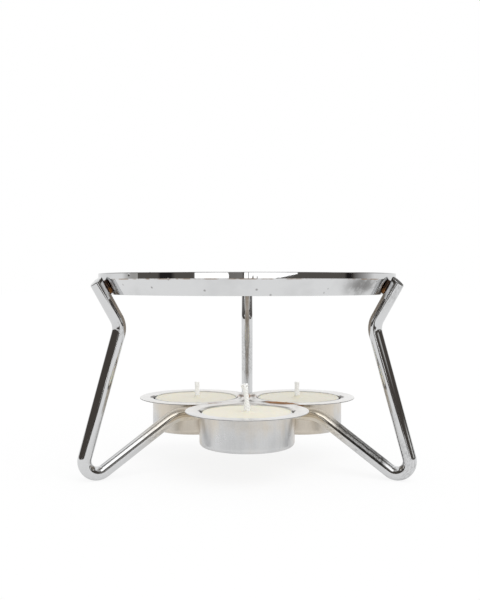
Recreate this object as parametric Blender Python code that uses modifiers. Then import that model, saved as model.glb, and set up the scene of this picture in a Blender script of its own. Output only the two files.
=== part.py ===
"""Fondue burner stand: a chromed ring on three bent rod legs, over three candle cups with tealights.

The stand's axis is upright, its front looks along -Y, and the feet touch the plane z = 0.
Profiles and rod centrelines are drawn in a plane as (radius, height) and turned about the axis.
"""

import math

import bmesh
import bpy
from mathutils import Matrix, Vector

# Ring: an upright collar over a band that leans inwards going down
RING_TOP = 0.0892
COLLAR_RADIUS = 0.0683
COLLAR_HEIGHT = 0.00275
BAND_HEIGHT = 0.00665
RING_SHEET = 0.0012
RING_EDGE_ROUND = 0.00035
BAND_LEAN = math.radians(29.4)

# Legs: one bent rod each, brazed to the outside of the band
ROD_DIAMETER = 0.006
KINK_HEIGHT = 0.0663
KINK_BEND = 0.009
LOWER_ANGLE = math.radians(74.1)
FOOT_BEND = 0.0057
INNER_ANGLE = math.radians(33.7)
INNER_BEND = 0.013
END_CUT_ANGLE = math.radians(42.0)
FRONT_LEG_ANGLE = math.radians(64.0)
REAR_LEG_ANGLE = math.radians(180.0)

# Candle cups: drawn sheet with a flat flange, trimmed along the seam where it meets the next one
TEALIGHT_DIAMETER = 0.0398
CUP_PLAY = 0.0003
CUP_SHEET = 0.0004
CUP_FLOOR = 0.01465
CUP_DEPTH = 0.0152
CUP_CORNER = 0.002
FLANGE_WIDTH = 0.0062
SEAM_WIDTH = 0.0043
FLANGE_BEND = 0.001
CUP_TURN = math.radians(120.0)

# Tealights: a thin case with a small rolled rim, wax, a wick and the tab that holds it
CASE_HEIGHT = 0.0144
CASE_WALL = 0.0003
CASE_RIM_WIDTH = 0.0004
CASE_RIM_HEIGHT = 0.0008
CASE_CORNER = 0.001
WAX_DROP = 0.0003
TAB_RADIUS = 0.006
TAB_SHEET = 0.0003
TAB_NECK_WALL = 0.0004
TAB_NECK_HEIGHT = 0.003
WICK_DIAMETER = 0.0021
FRONT_WICK_LENGTH = 0.0114
FRONT_WICK_LEAN = 0.0011
REAR_WICK_LENGTH = 0.0074
REAR_WICK_LEAN = 0.0
REAR_WICK_OFFSET = 0.0007

# Braze: beads of filler metal along the rods, and a plug between their inner ends
BRAZE_GAP = 0.0002
BRAZE_WEB = 0.0002
RING_BEAD_LENGTH = 0.0072
RING_BEAD_WIDTH = 0.0046
RING_BEAD_THICKNESS = 0.0026
CUP_BEAD_LENGTH = 0.024
CUP_BEAD_START = 0.0045
CUP_BEAD_WIDTH = 0.0054
CUP_BEAD_THICKNESS = 0.0022
HUB_RADIUS = 0.0033
HUB_HEIGHT = 0.0066
HUB_EDGE_ROUND = 0.0008

# Gap between pieces that touch on the real stand
TOUCH_GAP = 0.0003

# How finely round shapes are cut into facets
RING_STEPS = 72
CUP_STEPS = 36
CASE_STEPS = 32
TAB_STEPS = 16
ROD_STEPS = 16
WICK_STEPS = 8
FOOT_BEND_STEPS = 12
GENTLE_BEND_STEPS = 4
EDGE_STEPS = 2
CORNER_STEPS = 3
BEAD_SEGMENTS = 20
BEAD_RINGS = 10
CUTTER_SEGMENTS = 32
WELD_DISTANCE = 0.00001
CUT_OVERRUN = 0.004
SHARP_ANGLE = math.radians(35.0)

# Sizes worked out from the ones above
ROD_RADIUS = ROD_DIAMETER / 2
BRAZE_FILM = 2 * BRAZE_GAP + BRAZE_WEB
BAND_TOP = RING_TOP - COLLAR_HEIGHT
BAND_BOTTOM = BAND_TOP - BAND_HEIGHT
TEALIGHT_RADIUS = TEALIGHT_DIAMETER / 2
CUP_BORE = TEALIGHT_RADIUS + CUP_PLAY
CUP_RADIUS = CUP_BORE + CUP_SHEET
FLANGE_RADIUS = CUP_RADIUS + FLANGE_WIDTH
FLANGE_TOP = CUP_FLOOR + CUP_DEPTH
FLANGE_UNDERSIDE = FLANGE_TOP - CUP_SHEET
SEAM_DISTANCE = CUP_RADIUS + SEAM_WIDTH
SEAM_TURN = math.pi / 2 + CUP_TURN / 2
CUP_REACH = SEAM_DISTANCE / math.sin(CUP_TURN / 2)
ROD_LEVEL = FLANGE_UNDERSIDE - BRAZE_FILM - ROD_RADIUS
ROD_INNER_END = HUB_RADIUS + TOUCH_GAP
CASE_BOTTOM = CUP_FLOOR + CUP_SHEET + TOUCH_GAP
CASE_TOP = CASE_BOTTOM + CASE_HEIGHT
CASE_RADIUS = TEALIGHT_RADIUS - CASE_RIM_WIDTH
CASE_BORE = CASE_RADIUS - CASE_WALL
CASE_FLOOR_TOP = CASE_BOTTOM + CASE_WALL
WAX_BOTTOM = CASE_FLOOR_TOP + TOUCH_GAP
WAX_TOP = CASE_TOP - WAX_DROP
WAX_RADIUS = CASE_BORE - TOUCH_GAP
TAB_BOTTOM = CASE_FLOOR_TOP + TOUCH_GAP
TAB_TOP = TAB_BOTTOM + TAB_SHEET
NECK_TOP = TAB_TOP + TAB_NECK_HEIGHT
WICK_RADIUS = WICK_DIAMETER / 2
NECK_BORE = WICK_RADIUS + TOUCH_GAP
NECK_RADIUS = NECK_BORE + TAB_NECK_WALL
WICK_BOTTOM = TAB_TOP + TOUCH_GAP


def ring_line(height):
    """Radius of the band's outer face at a height."""
    return COLLAR_RADIUS + (height - BAND_TOP) * math.tan(BAND_LEAN)


def rod_line(height):
    """Radius of the upper rod's centreline at a height: parallel to the band, a braze film away."""
    return ring_line(height) + (ROD_RADIUS + BRAZE_FILM) / math.cos(BAND_LEAN)


def rod_end_height():
    """Height of the rod's upper end, whose slanting cut meets the top edge of the band."""
    return BAND_TOP - ROD_RADIUS * math.sin(END_CUT_ANGLE) / math.cos(END_CUT_ANGLE - BAND_LEAN)


def foot_corner_height():
    """Height of the foot's sharp corner, which puts the rounded rod's underside at z = 0."""
    half = (LOWER_ANGLE - INNER_ANGLE) / 2
    middle = (LOWER_ANGLE + INNER_ANGLE) / 2
    return ROD_RADIUS + FOOT_BEND * (1 - math.sin(middle) / math.sin(half))


def leg_corners():
    """Sharp corners of a leg's centreline as (radius, height), from the ring to the hub."""
    start = rod_end_height() + CUT_OVERRUN
    kink_radius = rod_line(KINK_HEIGHT)
    foot_height = foot_corner_height()
    foot_radius = kink_radius + (KINK_HEIGHT - foot_height) / math.tan(LOWER_ANGLE)
    bend_radius = foot_radius - (ROD_LEVEL - foot_height) / math.tan(INNER_ANGLE)
    return [
        (rod_line(start), start),
        (kink_radius, KINK_HEIGHT),
        (foot_radius, foot_height),
        (bend_radius, ROD_LEVEL),
        (ROD_INNER_END, ROD_LEVEL),
    ]


def foot_reach():
    """Radius of the outermost point of a foot."""
    half = (LOWER_ANGLE - INNER_ANGLE) / 2
    middle = (LOWER_ANGLE + INNER_ANGLE) / 2
    corner_radius = leg_corners()[2][0]
    centre = corner_radius - FOOT_BEND * math.cos(middle) / math.sin(half)
    return centre + FOOT_BEND + ROD_RADIUS


def rounded(corners, bends, closed=False):
    """An outline whose corners are replaced by arcs. bends maps a corner's index to (radius, steps)."""
    points = []
    count = len(corners)
    for index, corner in enumerate(corners):
        here = Vector(corner)
        if index not in bends:
            points.append(here)
            continue
        radius, steps = bends[index]
        before = (Vector(corners[index - 1]) - here).normalized()
        after = (Vector(corners[(index + 1) % count]) - here).normalized()
        half = before.angle(after) / 2
        centre = here + (before + after).normalized() * (radius / math.sin(half))
        start = here + before * (radius / math.tan(half)) - centre
        sweep = math.pi - 2 * half
        side = 1 if before.x * after.y - before.y * after.x < 0 else -1
        for step in range(steps + 1):
            turn = side * sweep * step / steps
            spoke = Matrix.Rotation(turn, 2) @ start
            points.append(centre + spoke)
    if closed:
        points.append(points[0])
    return points


def new_collection(name):
    """A collection of that name in the scene."""
    collection = bpy.data.collections.new(name)
    bpy.context.scene.collection.children.link(collection)
    return collection


def material(name, colour, metallic, roughness):
    """A Principled material."""
    made = bpy.data.materials.new(name)
    made.use_nodes = True
    shader = made.node_tree.nodes["Principled BSDF"]
    shader.inputs["Base Color"].default_value = (*colour, 1.0)
    shader.inputs["Metallic"].default_value = metallic
    shader.inputs["Roughness"].default_value = roughness
    made.diffuse_color = (*colour, 1.0)
    return made


def piece(name, data, finish, collection, parent, turn=0.0, place=(0.0, 0.0, 0.0)):
    """An object with one material, turned about Z and placed in its parent's space."""
    made = bpy.data.objects.new(name, data)
    if finish:
        data.materials.append(finish)
    made.location = place
    made.rotation_euler = (0.0, 0.0, turn)
    made.parent = parent
    collection.objects.link(made)
    return made


def empty(name, collection, parent=None, turn=0.0, place=(0.0, 0.0, 0.0)):
    """An axis that other objects are parented to."""
    return piece(name, None, None, collection, parent, turn, place)


def turned(name, outline, steps, finish, collection, parent, place=(0.0, 0.0, 0.0)):
    """A turned solid: an outline of (radius, height) points with a Screw modifier about Z."""
    mesh = bpy.data.meshes.new(name)
    loop = (outline[0] - outline[-1]).length < WELD_DISTANCE
    points = outline[:-1] if loop else outline
    edges = [(index, index + 1) for index in range(len(points) - 1)]
    if loop:
        edges.append((len(points) - 1, 0))
    mesh.from_pydata([(point.x, 0.0, point.y) for point in points], edges, [])
    made = piece(name, mesh, finish, collection, parent, 0.0, place)
    screw = made.modifiers.new("turn", "SCREW")
    screw.axis = "Z"
    screw.steps = steps
    screw.render_steps = steps
    screw.use_merge_vertices = True
    screw.merge_threshold = WELD_DISTANCE
    screw.use_smooth_shade = True
    return made


def rod_curve(name, points, radius, steps):
    """A round rod along a line of points, with filled ends and an even number of steps round it."""
    curve = bpy.data.curves.new(name, "CURVE")
    curve.dimensions = "3D"
    curve.bevel_depth = radius
    curve.bevel_resolution = steps // 2 - 2
    curve.use_fill_caps = True
    spline = curve.splines.new("POLY")
    spline.points.add(len(points) - 1)
    for target, point in zip(spline.points, points):
        target.co = (*point, 1.0)
    return curve


def as_mesh(made, collection):
    """The curve object as a welded mesh object of the same name and place."""
    bpy.context.view_layer.update()
    graph = bpy.context.evaluated_depsgraph_get()
    mesh = bpy.data.meshes.new_from_object(made.evaluated_get(graph))
    shape = bmesh.new()
    shape.from_mesh(mesh)
    bmesh.ops.remove_doubles(shape, verts=shape.verts, dist=WELD_DISTANCE)
    bmesh.ops.recalc_face_normals(shape, faces=shape.faces)
    shape.to_mesh(mesh)
    shape.free()
    mesh.shade_smooth()
    mesh.set_sharp_from_angle(angle=SHARP_ANGLE)
    name, place, parent = made.name, made.matrix_world.copy(), made.parent
    bpy.data.objects.remove(made)
    solid = bpy.data.objects.new(name, mesh)
    collection.objects.link(solid)
    solid.parent = parent
    bpy.context.view_layer.update()
    solid.matrix_world = place
    return solid


def only_cuts(made):
    """Marks an object as one that only cuts others."""
    made.hide_render = True
    made.display_type = "WIRE"
    return made


def cutter(name, shape, collection, parent, matrix=None):
    """A cutting object from a bmesh, which is used up."""
    mesh = bpy.data.meshes.new(name)
    if matrix is not None:
        bmesh.ops.transform(shape, matrix=matrix, verts=shape.verts)
    shape.to_mesh(mesh)
    shape.free()
    return only_cuts(piece(name, mesh, None, collection, parent))


def cut(target, tool):
    """Takes the tool's volume out of the target."""
    boolean = target.modifiers.new("cut_" + tool.name, "BOOLEAN")
    boolean.operation = "DIFFERENCE"
    boolean.solver = "EXACT"
    boolean.object = tool


def cylinder(radius, low, high, segments, top_radius=None):
    """An upright cylinder, or a cone where the top radius differs, as a bmesh."""
    shape = bmesh.new()
    top = radius if top_radius is None else top_radius
    middle = Matrix.Translation((0.0, 0.0, (low + high) / 2))
    bmesh.ops.create_cone(
        shape, cap_ends=True, segments=segments, radius1=radius, radius2=top, depth=high - low, matrix=middle
    )
    return shape


def bead(name, length, width, thickness, finish, collection, parent, matrix):
    """A bead of filler: a ball drawn out to length along X, width along Y and thickness along Z."""
    shape = bmesh.new()
    bmesh.ops.create_uvsphere(shape, u_segments=BEAD_SEGMENTS, v_segments=BEAD_RINGS, radius=1.0)
    size = Matrix.Diagonal((length / 2, width / 2, thickness / 2, 1.0))
    bmesh.ops.transform(shape, matrix=matrix @ size, verts=shape.verts)
    mesh = bpy.data.meshes.new(name)
    shape.to_mesh(mesh)
    shape.free()
    mesh.shade_smooth()
    return piece(name, mesh, finish, collection, parent)


def heading(angle):
    """Turn about Z that takes +X to an angle measured from the front, positive to the right."""
    return angle - math.pi / 2


def build_ring(parts, stand, chrome):
    """The top ring: collar and band from one sheet, with a flat land on top for the pan."""
    inner_drop = RING_SHEET * (1 / math.cos(BAND_LEAN) - 1) / math.tan(BAND_LEAN)
    bottom = ring_line(BAND_BOTTOM)
    corners = [
        (COLLAR_RADIUS, RING_TOP),
        (COLLAR_RADIUS, BAND_TOP),
        (bottom, BAND_BOTTOM),
        (bottom - RING_SHEET / math.cos(BAND_LEAN), BAND_BOTTOM),
        (COLLAR_RADIUS - RING_SHEET, BAND_TOP + inner_drop),
        (COLLAR_RADIUS - RING_SHEET, RING_TOP),
    ]
    edge = (RING_EDGE_ROUND, EDGE_STEPS)
    outline = rounded(corners, {0: edge, 2: edge, 3: edge, 5: edge}, closed=True)
    return turned("top_ring", outline, RING_STEPS, chrome, parts, stand)


def build_leg(name, angle, parts, cutters, stand, chrome):
    """One leg: a rod bent at the kink, the foot and under the cups, with its top end cut at a slant."""
    bends = {
        1: (KINK_BEND, GENTLE_BEND_STEPS),
        2: (FOOT_BEND, FOOT_BEND_STEPS),
        3: (INNER_BEND, GENTLE_BEND_STEPS),
    }
    line = [(point.x, 0.0, point.y) for point in rounded(leg_corners(), bends)]
    curve = rod_curve(name, line, ROD_RADIUS, ROD_STEPS)
    leg = as_mesh(piece(name, curve, chrome, parts, stand, heading(angle)), parts)
    height = rod_end_height()
    block = bmesh.new()
    side = 2 * CUT_OVERRUN + ROD_DIAMETER
    bmesh.ops.create_cube(block, size=2 * side, matrix=Matrix.Translation((0.0, 0.0, side)))
    slant = Matrix.Rotation(END_CUT_ANGLE, 4, "Y")
    place = Matrix.Translation((rod_line(height), 0.0, height))
    turn = Matrix.Rotation(heading(angle), 4, "Z")
    cut(leg, cutter("end_cut_" + name, block, cutters, stand, turn @ place @ slant))
    return leg


def upper_rod_cutter(name, angle, cutters, stand):
    """The straight upper rod, a braze gap larger, as a cutter."""
    shape = cylinder(ROD_RADIUS + BRAZE_GAP, -2 * BAND_HEIGHT, 2 * BAND_HEIGHT, CUTTER_SEGMENTS)
    place = Matrix.Translation((rod_line(BAND_TOP), 0.0, BAND_TOP))
    lean = Matrix.Rotation(BAND_LEAN, 4, "Y")
    turn = Matrix.Rotation(heading(angle), 4, "Z")
    return cutter(name, shape, cutters, stand, turn @ place @ lean)


def band_cutter(cutters, stand):
    """The space inside the band's outer face, a braze gap larger, as a cutter."""
    low = BAND_BOTTOM - BAND_HEIGHT
    high = BAND_TOP + BAND_HEIGHT
    gap = BRAZE_GAP / math.cos(BAND_LEAN)
    shape = cylinder(ring_line(low) + gap, low, high, RING_STEPS, ring_line(high) + gap)
    return cutter("band_space", shape, cutters, stand)


def build_ring_braze(name, angle, band, parts, cutters, stand, braze):
    """The filler that joins a leg's upper rod to the band, as a bead on both sides of their contact."""
    height = (BAND_TOP + BAND_BOTTOM) / 2
    contact = ring_line(height) + BRAZE_FILM / 2 / math.cos(BAND_LEAN)
    turn = Matrix.Rotation(heading(angle), 4, "Z")
    place = Matrix.Translation((contact, 0.0, height))
    lean = Matrix.Rotation(BAND_LEAN, 4, "Y") @ Matrix.Rotation(-math.pi / 2, 4, "Y")
    matrix = turn @ place @ lean
    made = bead(name, RING_BEAD_LENGTH, RING_BEAD_WIDTH, RING_BEAD_THICKNESS, braze, parts, stand, matrix)
    cut(made, upper_rod_cutter("rod_space_" + name, angle, cutters, stand))
    cut(made, band)
    return made


def flange_cutter(name, angle, cutters, stand):
    """The space of one cup's flange, a braze gap larger, as a cutter."""
    low = FLANGE_UNDERSIDE - BRAZE_GAP
    high = FLANGE_TOP + CUT_OVERRUN
    shape = cylinder(FLANGE_RADIUS + BRAZE_GAP, low, high, RING_STEPS)
    turn = Matrix.Rotation(heading(angle), 4, "Z")
    return cutter(name, shape, cutters, stand, turn @ Matrix.Translation((CUP_REACH, 0.0, 0.0)))


def build_cup_braze(name, angle, flanges, parts, cutters, stand, braze):
    """The filler between a leg's inner rod and the two flanges that rest on it."""
    turn = Matrix.Rotation(heading(angle), 4, "Z")
    middle = CUP_BEAD_START + CUP_BEAD_LENGTH / 2
    matrix = turn @ Matrix.Translation((middle, 0.0, FLANGE_UNDERSIDE - BRAZE_FILM / 2))
    made = bead(name, CUP_BEAD_LENGTH, CUP_BEAD_WIDTH, CUP_BEAD_THICKNESS, braze, parts, stand, matrix)
    shape = cylinder(ROD_RADIUS + BRAZE_GAP, 0.0, 2 * CUP_REACH, CUTTER_SEGMENTS)
    lying = Matrix.Translation((0.0, 0.0, ROD_LEVEL)) @ Matrix.Rotation(math.pi / 2, 4, "Y")
    cut(made, cutter("rod_space_" + name, shape, cutters, stand, turn @ lying))
    for flange in flanges:
        cut(made, flange)
    return made


def build_hub_braze(parts, stand, braze):
    """The plug of filler between the inner ends of the rods."""
    low = ROD_LEVEL - HUB_HEIGHT / 2
    high = ROD_LEVEL + HUB_HEIGHT / 2
    corners = [(0.0, high), (HUB_RADIUS, high), (HUB_RADIUS, low), (0.0, low)]
    edge = (HUB_EDGE_ROUND, EDGE_STEPS)
    return turned("hub_braze", rounded(corners, {1: edge, 2: edge}), TAB_STEPS, braze, parts, stand)


def trim_flange(cup, angle, cutters, place):
    """Trims a cup's flange along its seams with both neighbours, half a gap short of them."""
    reach = SEAM_DISTANCE - TOUCH_GAP / 2
    size = 2 * FLANGE_RADIUS
    for side, turn in (("first", SEAM_TURN), ("second", -SEAM_TURN)):
        block = bmesh.new()
        bmesh.ops.create_cube(block, size=size, matrix=Matrix.Translation((reach + size / 2, 0.0, FLANGE_TOP)))
        matrix = Matrix.Rotation(heading(angle + turn), 4, "Z")
        cut(cup, cutter(side + "_seam_" + cup.name, block, cutters, place, matrix))


def build_cup(name, parts, place, steel):
    """A drawn cup with a rounded bottom corner and a flat flange."""
    floor_top = CUP_FLOOR + CUP_SHEET
    corners = [
        (0.0, floor_top),
        (CUP_BORE, floor_top),
        (CUP_BORE, FLANGE_TOP),
        (FLANGE_RADIUS, FLANGE_TOP),
        (FLANGE_RADIUS, FLANGE_UNDERSIDE),
        (CUP_RADIUS, FLANGE_UNDERSIDE),
        (CUP_RADIUS, CUP_FLOOR),
        (0.0, CUP_FLOOR),
    ]
    bends = {
        1: (CUP_CORNER - CUP_SHEET, CORNER_STEPS),
        2: (FLANGE_BEND, EDGE_STEPS),
        5: (FLANGE_BEND - CUP_SHEET, EDGE_STEPS),
        6: (CUP_CORNER, CORNER_STEPS),
    }
    return turned(name, rounded(corners, bends), CUP_STEPS, steel, parts, place)


def build_case(name, parts, place, aluminium):
    """A tealight's thin case with a rolled rim."""
    rim_bottom = CASE_TOP - CASE_RIM_HEIGHT
    corners = [
        (0.0, CASE_FLOOR_TOP),
        (CASE_BORE, CASE_FLOOR_TOP),
        (CASE_BORE, CASE_TOP),
        (TEALIGHT_RADIUS, CASE_TOP),
        (TEALIGHT_RADIUS, rim_bottom),
        (CASE_RADIUS, rim_bottom),
        (CASE_RADIUS, CASE_BOTTOM),
        (0.0, CASE_BOTTOM),
    ]
    bends = {
        1: (CASE_CORNER - CASE_WALL, EDGE_STEPS),
        3: (CASE_RIM_WIDTH / 2, EDGE_STEPS),
        6: (CASE_CORNER, EDGE_STEPS),
    }
    return turned(name, rounded(corners, bends), CASE_STEPS, aluminium, parts, place)


def build_tab(name, parts, place, offset, steel):
    """The round tab that holds the wick's foot in a short neck."""
    corners = [
        (0.0, TAB_TOP),
        (NECK_BORE, TAB_TOP),
        (NECK_BORE, NECK_TOP),
        (NECK_RADIUS, NECK_TOP),
        (NECK_RADIUS, TAB_TOP),
        (TAB_RADIUS, TAB_TOP),
        (TAB_RADIUS, TAB_BOTTOM),
        (0.0, TAB_BOTTOM),
    ]
    return turned(name, rounded(corners, {}), TAB_STEPS, steel, parts, place, (offset, 0.0, 0.0))


def build_wick(name, length, lean, parts, place, offset, cotton):
    """A round cotton wick: upright in the wax, then leaning over by its free length."""
    bend = WAX_TOP + WICK_DIAMETER
    tip = WAX_TOP + length
    middle = (bend + tip) / 2
    line = [
        (0.0, 0.0, WICK_BOTTOM),
        (0.0, 0.0, WAX_TOP),
        (0.0, 0.0, bend),
        (-lean / 3, 0.0, middle),
        (-lean, 0.0, tip),
    ]
    curve = rod_curve(name, line, WICK_RADIUS, WICK_STEPS)
    return as_mesh(piece(name, curve, cotton, parts, place, 0.0, (offset, 0.0, 0.0)), parts)


def build_wax(name, parts, cutters, place, offset, wax):
    """The wax: a disc with a bore for the wick and a pocket for the tab, open at the bottom."""
    corners = [(0.0, WAX_TOP), (WAX_RADIUS, WAX_TOP), (WAX_RADIUS, WAX_BOTTOM), (0.0, WAX_BOTTOM)]
    edge = (CASE_WALL, EDGE_STEPS)
    corner = (CASE_CORNER, EDGE_STEPS)
    made = turned(name, rounded(corners, {1: edge, 2: corner}), CASE_STEPS, wax, parts, place)
    pocket = TAB_RADIUS + TOUCH_GAP
    below = WAX_BOTTOM - CUT_OVERRUN
    space = [
        (0.0, WAX_TOP + CUT_OVERRUN),
        (NECK_BORE, WAX_TOP + CUT_OVERRUN),
        (NECK_BORE, NECK_TOP + TOUCH_GAP),
        (NECK_RADIUS + TOUCH_GAP, NECK_TOP + TOUCH_GAP),
        (NECK_RADIUS + TOUCH_GAP, TAB_TOP + TOUCH_GAP),
        (pocket, TAB_TOP + TOUCH_GAP),
        (pocket, below),
        (0.0, below),
    ]
    outline = rounded(space, {})
    tool = turned("wick_space_" + name, outline, TAB_STEPS, None, cutters, place, (offset, 0.0, 0.0))
    cut(made, only_cuts(tool))
    return made


def build_tealight(side, length, lean, offset, parts, cutters, axis, finishes):
    """One tealight, whose pieces are all parented to the axis that it lifts along."""
    build_case("tealight_case_" + side, parts, axis, finishes["aluminium"])
    build_tab("wick_tab_" + side, parts, axis, offset, finishes["steel"])
    build_wick("wick_" + side, length, lean, parts, axis, offset, finishes["cotton"])
    build_wax("wax_" + side, parts, cutters, axis, offset, finishes["wax"])


def make_finishes():
    """The stand's materials, by the name of what they are."""
    return {
        "chrome": material("polished_chrome", (0.69, 0.695, 0.70), 1.0, 0.08),
        "steel": material("satin_steel", (0.72, 0.70, 0.66), 1.0, 0.28),
        "aluminium": material("thin_aluminium", (0.82, 0.82, 0.82), 1.0, 0.30),
        "braze": material("braze_brown", (0.36, 0.19, 0.07), 1.0, 0.45),
        "wax": material("ivory_wax", (0.87, 0.83, 0.70), 0.0, 0.45),
        "cotton": material("white_cotton", (0.88, 0.88, 0.84), 0.0, 0.9),
    }


def clear_scene():
    """Removes every object, so that the scene holds only the stand."""
    for old in list(bpy.data.objects):
        bpy.data.objects.remove(old)


def main():
    clear_scene()
    parts = new_collection("fondue_burner_stand")
    cutters = new_collection("cutters")
    finishes = make_finishes()
    centre_shift = (COLLAR_RADIUS - foot_reach()) / 2
    stand = empty("stand_axis", parts, place=(0.0, centre_shift, 0.0))

    build_ring(parts, stand, finishes["chrome"])
    leg_angles = {"right": FRONT_LEG_ANGLE, "left": -FRONT_LEG_ANGLE, "rear": REAR_LEG_ANGLE}
    for side, angle in leg_angles.items():
        build_leg("leg_" + side, angle, parts, cutters, stand, finishes["chrome"])

    band = band_cutter(cutters, stand)
    for side, angle in leg_angles.items():
        build_ring_braze("ring_braze_" + side, angle, band, parts, cutters, stand, finishes["braze"])

    cup_angles = {"front": 0.0, "right": CUP_TURN, "left": -CUP_TURN}
    flanges = {}
    for side, angle in cup_angles.items():
        flanges[side] = flange_cutter("flange_space_" + side, angle, cutters, stand)
    neighbours = {"right": ("front", "right"), "left": ("front", "left"), "rear": ("left", "right")}
    for side, angle in leg_angles.items():
        cups = [flanges[neighbour] for neighbour in neighbours[side]]
        build_cup_braze("cup_braze_" + side, angle, cups, parts, cutters, stand, finishes["braze"])
    build_hub_braze(parts, stand, finishes["braze"])

    wicks = {
        "front": (FRONT_WICK_LENGTH, FRONT_WICK_LEAN, 0.0),
        "right": (REAR_WICK_LENGTH, REAR_WICK_LEAN, -REAR_WICK_OFFSET),
        "left": (REAR_WICK_LENGTH, REAR_WICK_LEAN, REAR_WICK_OFFSET),
    }
    for side, angle in cup_angles.items():
        place = (CUP_REACH * math.sin(angle), -CUP_REACH * math.cos(angle), 0.0)
        axis = empty("tealight_axis_" + side, parts, stand, place=place)
        cup = build_cup("cup_" + side, parts, axis, finishes["steel"])
        trim_flange(cup, angle, cutters, axis)
        length, lean, offset = wicks[side]
        build_tealight(side, length, lean, offset, parts, cutters, axis, finishes)


main()
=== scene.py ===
"""The looks of a fondue burner stand: chromed ring and rod legs, satin candle cups, tealights, braze.

The file is laid out as an add-on. Run as a script, it dresses the stand and sets up the studio.
"""

import math

import bmesh
import bpy
from bpy.props import FloatProperty, FloatVectorProperty, IntProperty, PointerProperty
from mathutils import Matrix, Vector


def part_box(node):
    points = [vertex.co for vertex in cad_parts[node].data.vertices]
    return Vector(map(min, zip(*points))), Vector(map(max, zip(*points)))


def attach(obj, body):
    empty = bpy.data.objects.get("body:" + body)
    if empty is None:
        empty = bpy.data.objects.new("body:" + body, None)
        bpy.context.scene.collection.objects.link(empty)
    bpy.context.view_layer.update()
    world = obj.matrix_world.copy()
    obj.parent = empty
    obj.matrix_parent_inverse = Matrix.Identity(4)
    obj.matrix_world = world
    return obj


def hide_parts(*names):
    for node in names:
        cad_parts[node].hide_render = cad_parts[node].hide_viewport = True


bl_info = {
    "name": "Fondue burner stand",
    "version": (1, 0, 0),
    "blender": (4, 5, 0),
    "location": "3D View > Sidebar > Stand",
    "description": "Builds the visible surfaces of a burner stand around its packed solids",
    "category": "Object",
}

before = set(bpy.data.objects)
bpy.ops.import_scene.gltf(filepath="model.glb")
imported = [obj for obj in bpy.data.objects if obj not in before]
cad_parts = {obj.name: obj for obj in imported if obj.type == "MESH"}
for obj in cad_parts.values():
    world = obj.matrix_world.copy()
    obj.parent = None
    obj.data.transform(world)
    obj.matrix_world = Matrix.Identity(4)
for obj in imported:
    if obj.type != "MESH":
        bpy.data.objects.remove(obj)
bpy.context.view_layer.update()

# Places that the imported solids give
RING_LOW, RING_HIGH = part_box("top_ring")
CUP_LOW, CUP_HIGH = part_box("cup_front")
CASE_LOW, CASE_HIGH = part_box("tealight_case_front")
WAX_LOW, WAX_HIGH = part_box("wax_front")
HUB_LOW, HUB_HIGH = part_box("hub_braze")
AXIS = Vector(((RING_LOW.x + RING_HIGH.x) / 2, (RING_LOW.y + RING_HIGH.y) / 2, 0.0))
RING_RADIUS = (RING_HIGH.x - RING_LOW.x) / 2
SEAM_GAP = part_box("cup_right")[0].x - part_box("cup_left")[1].x
SIDES = ("front", "left", "right")
LEGS = ("rear", "left", "right")

# Names of attributes that the trees store for the materials
ROD_SPACE = "rod_space"
TURN_SPACE = "turn_space"
BEND = "bend"
FRESH = "fresh"
CARD_PLACE = "card_place"

FULL_TURN = 2 * math.pi
WELD_DISTANCE = 0.000002
FLOOR_REACH = 6.0

# Types of a tree's inputs by their defaults, and the inputs that both swept shapes have
SOCKET_TYPES = {float: "Float", int: "Int", tuple: "Color"}
SWEEP_INPUTS = {"Outline": "Geometry", "Arc Steps": 8, "Finish": "Material"}

# Beads of filler metal: length, width and height. The flange beads start beyond the hub's side and
# sit a little higher or lower from leg to leg. The hub's bead is larger than its solid.
RING_BEAD = (0.0066, 0.0015, 0.0015)
FLANGE_BEAD = (0.024, 0.0042, 0.0022)
FLANGE_BEAD_START = 0.0012
FLANGE_BEAD_SHIFTS = {"rear": 0.0, "left": -0.0004, "right": 0.0001}
HUB_BEAD_SHARE = 1.15

# Where painted shade lies in the gaps between the cases' rims and the cups: the side, which end of it,
# and by how much it is smaller there
GAP_SHADE_SPOTS = (("left", -1, 0.0), ("right", 1, 0.0), ("front", -1, 0.0007), ("front", 1, 0.0009))


class StandRingSizes(bpy.types.PropertyGroup):
    """Sizes of the top ring that the solids' boxes don't give."""

    collar_height: FloatProperty(
        name="Collar height", description="Upright part above the band", default=0.00275, unit="LENGTH"
    )
    sheet: FloatProperty(
        name="Sheet", description="Thickness of the ring's metal", default=0.0012, unit="LENGTH"
    )
    lean: FloatProperty(
        name="Band lean", description="Angle of the band from upright",
        default=math.radians(29.4), subtype="ANGLE",
    )
    edge_round: FloatProperty(
        name="Edge rounding", description="Radius of the ring's edges", default=0.0002, unit="LENGTH"
    )
    crease_round: FloatProperty(
        name="Crease rounding", description="Radius between collar and band", default=0.0005, unit="LENGTH"
    )
    steps: IntProperty(name="Steps", description="Faces round the ring", default=288, min=12)


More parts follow.
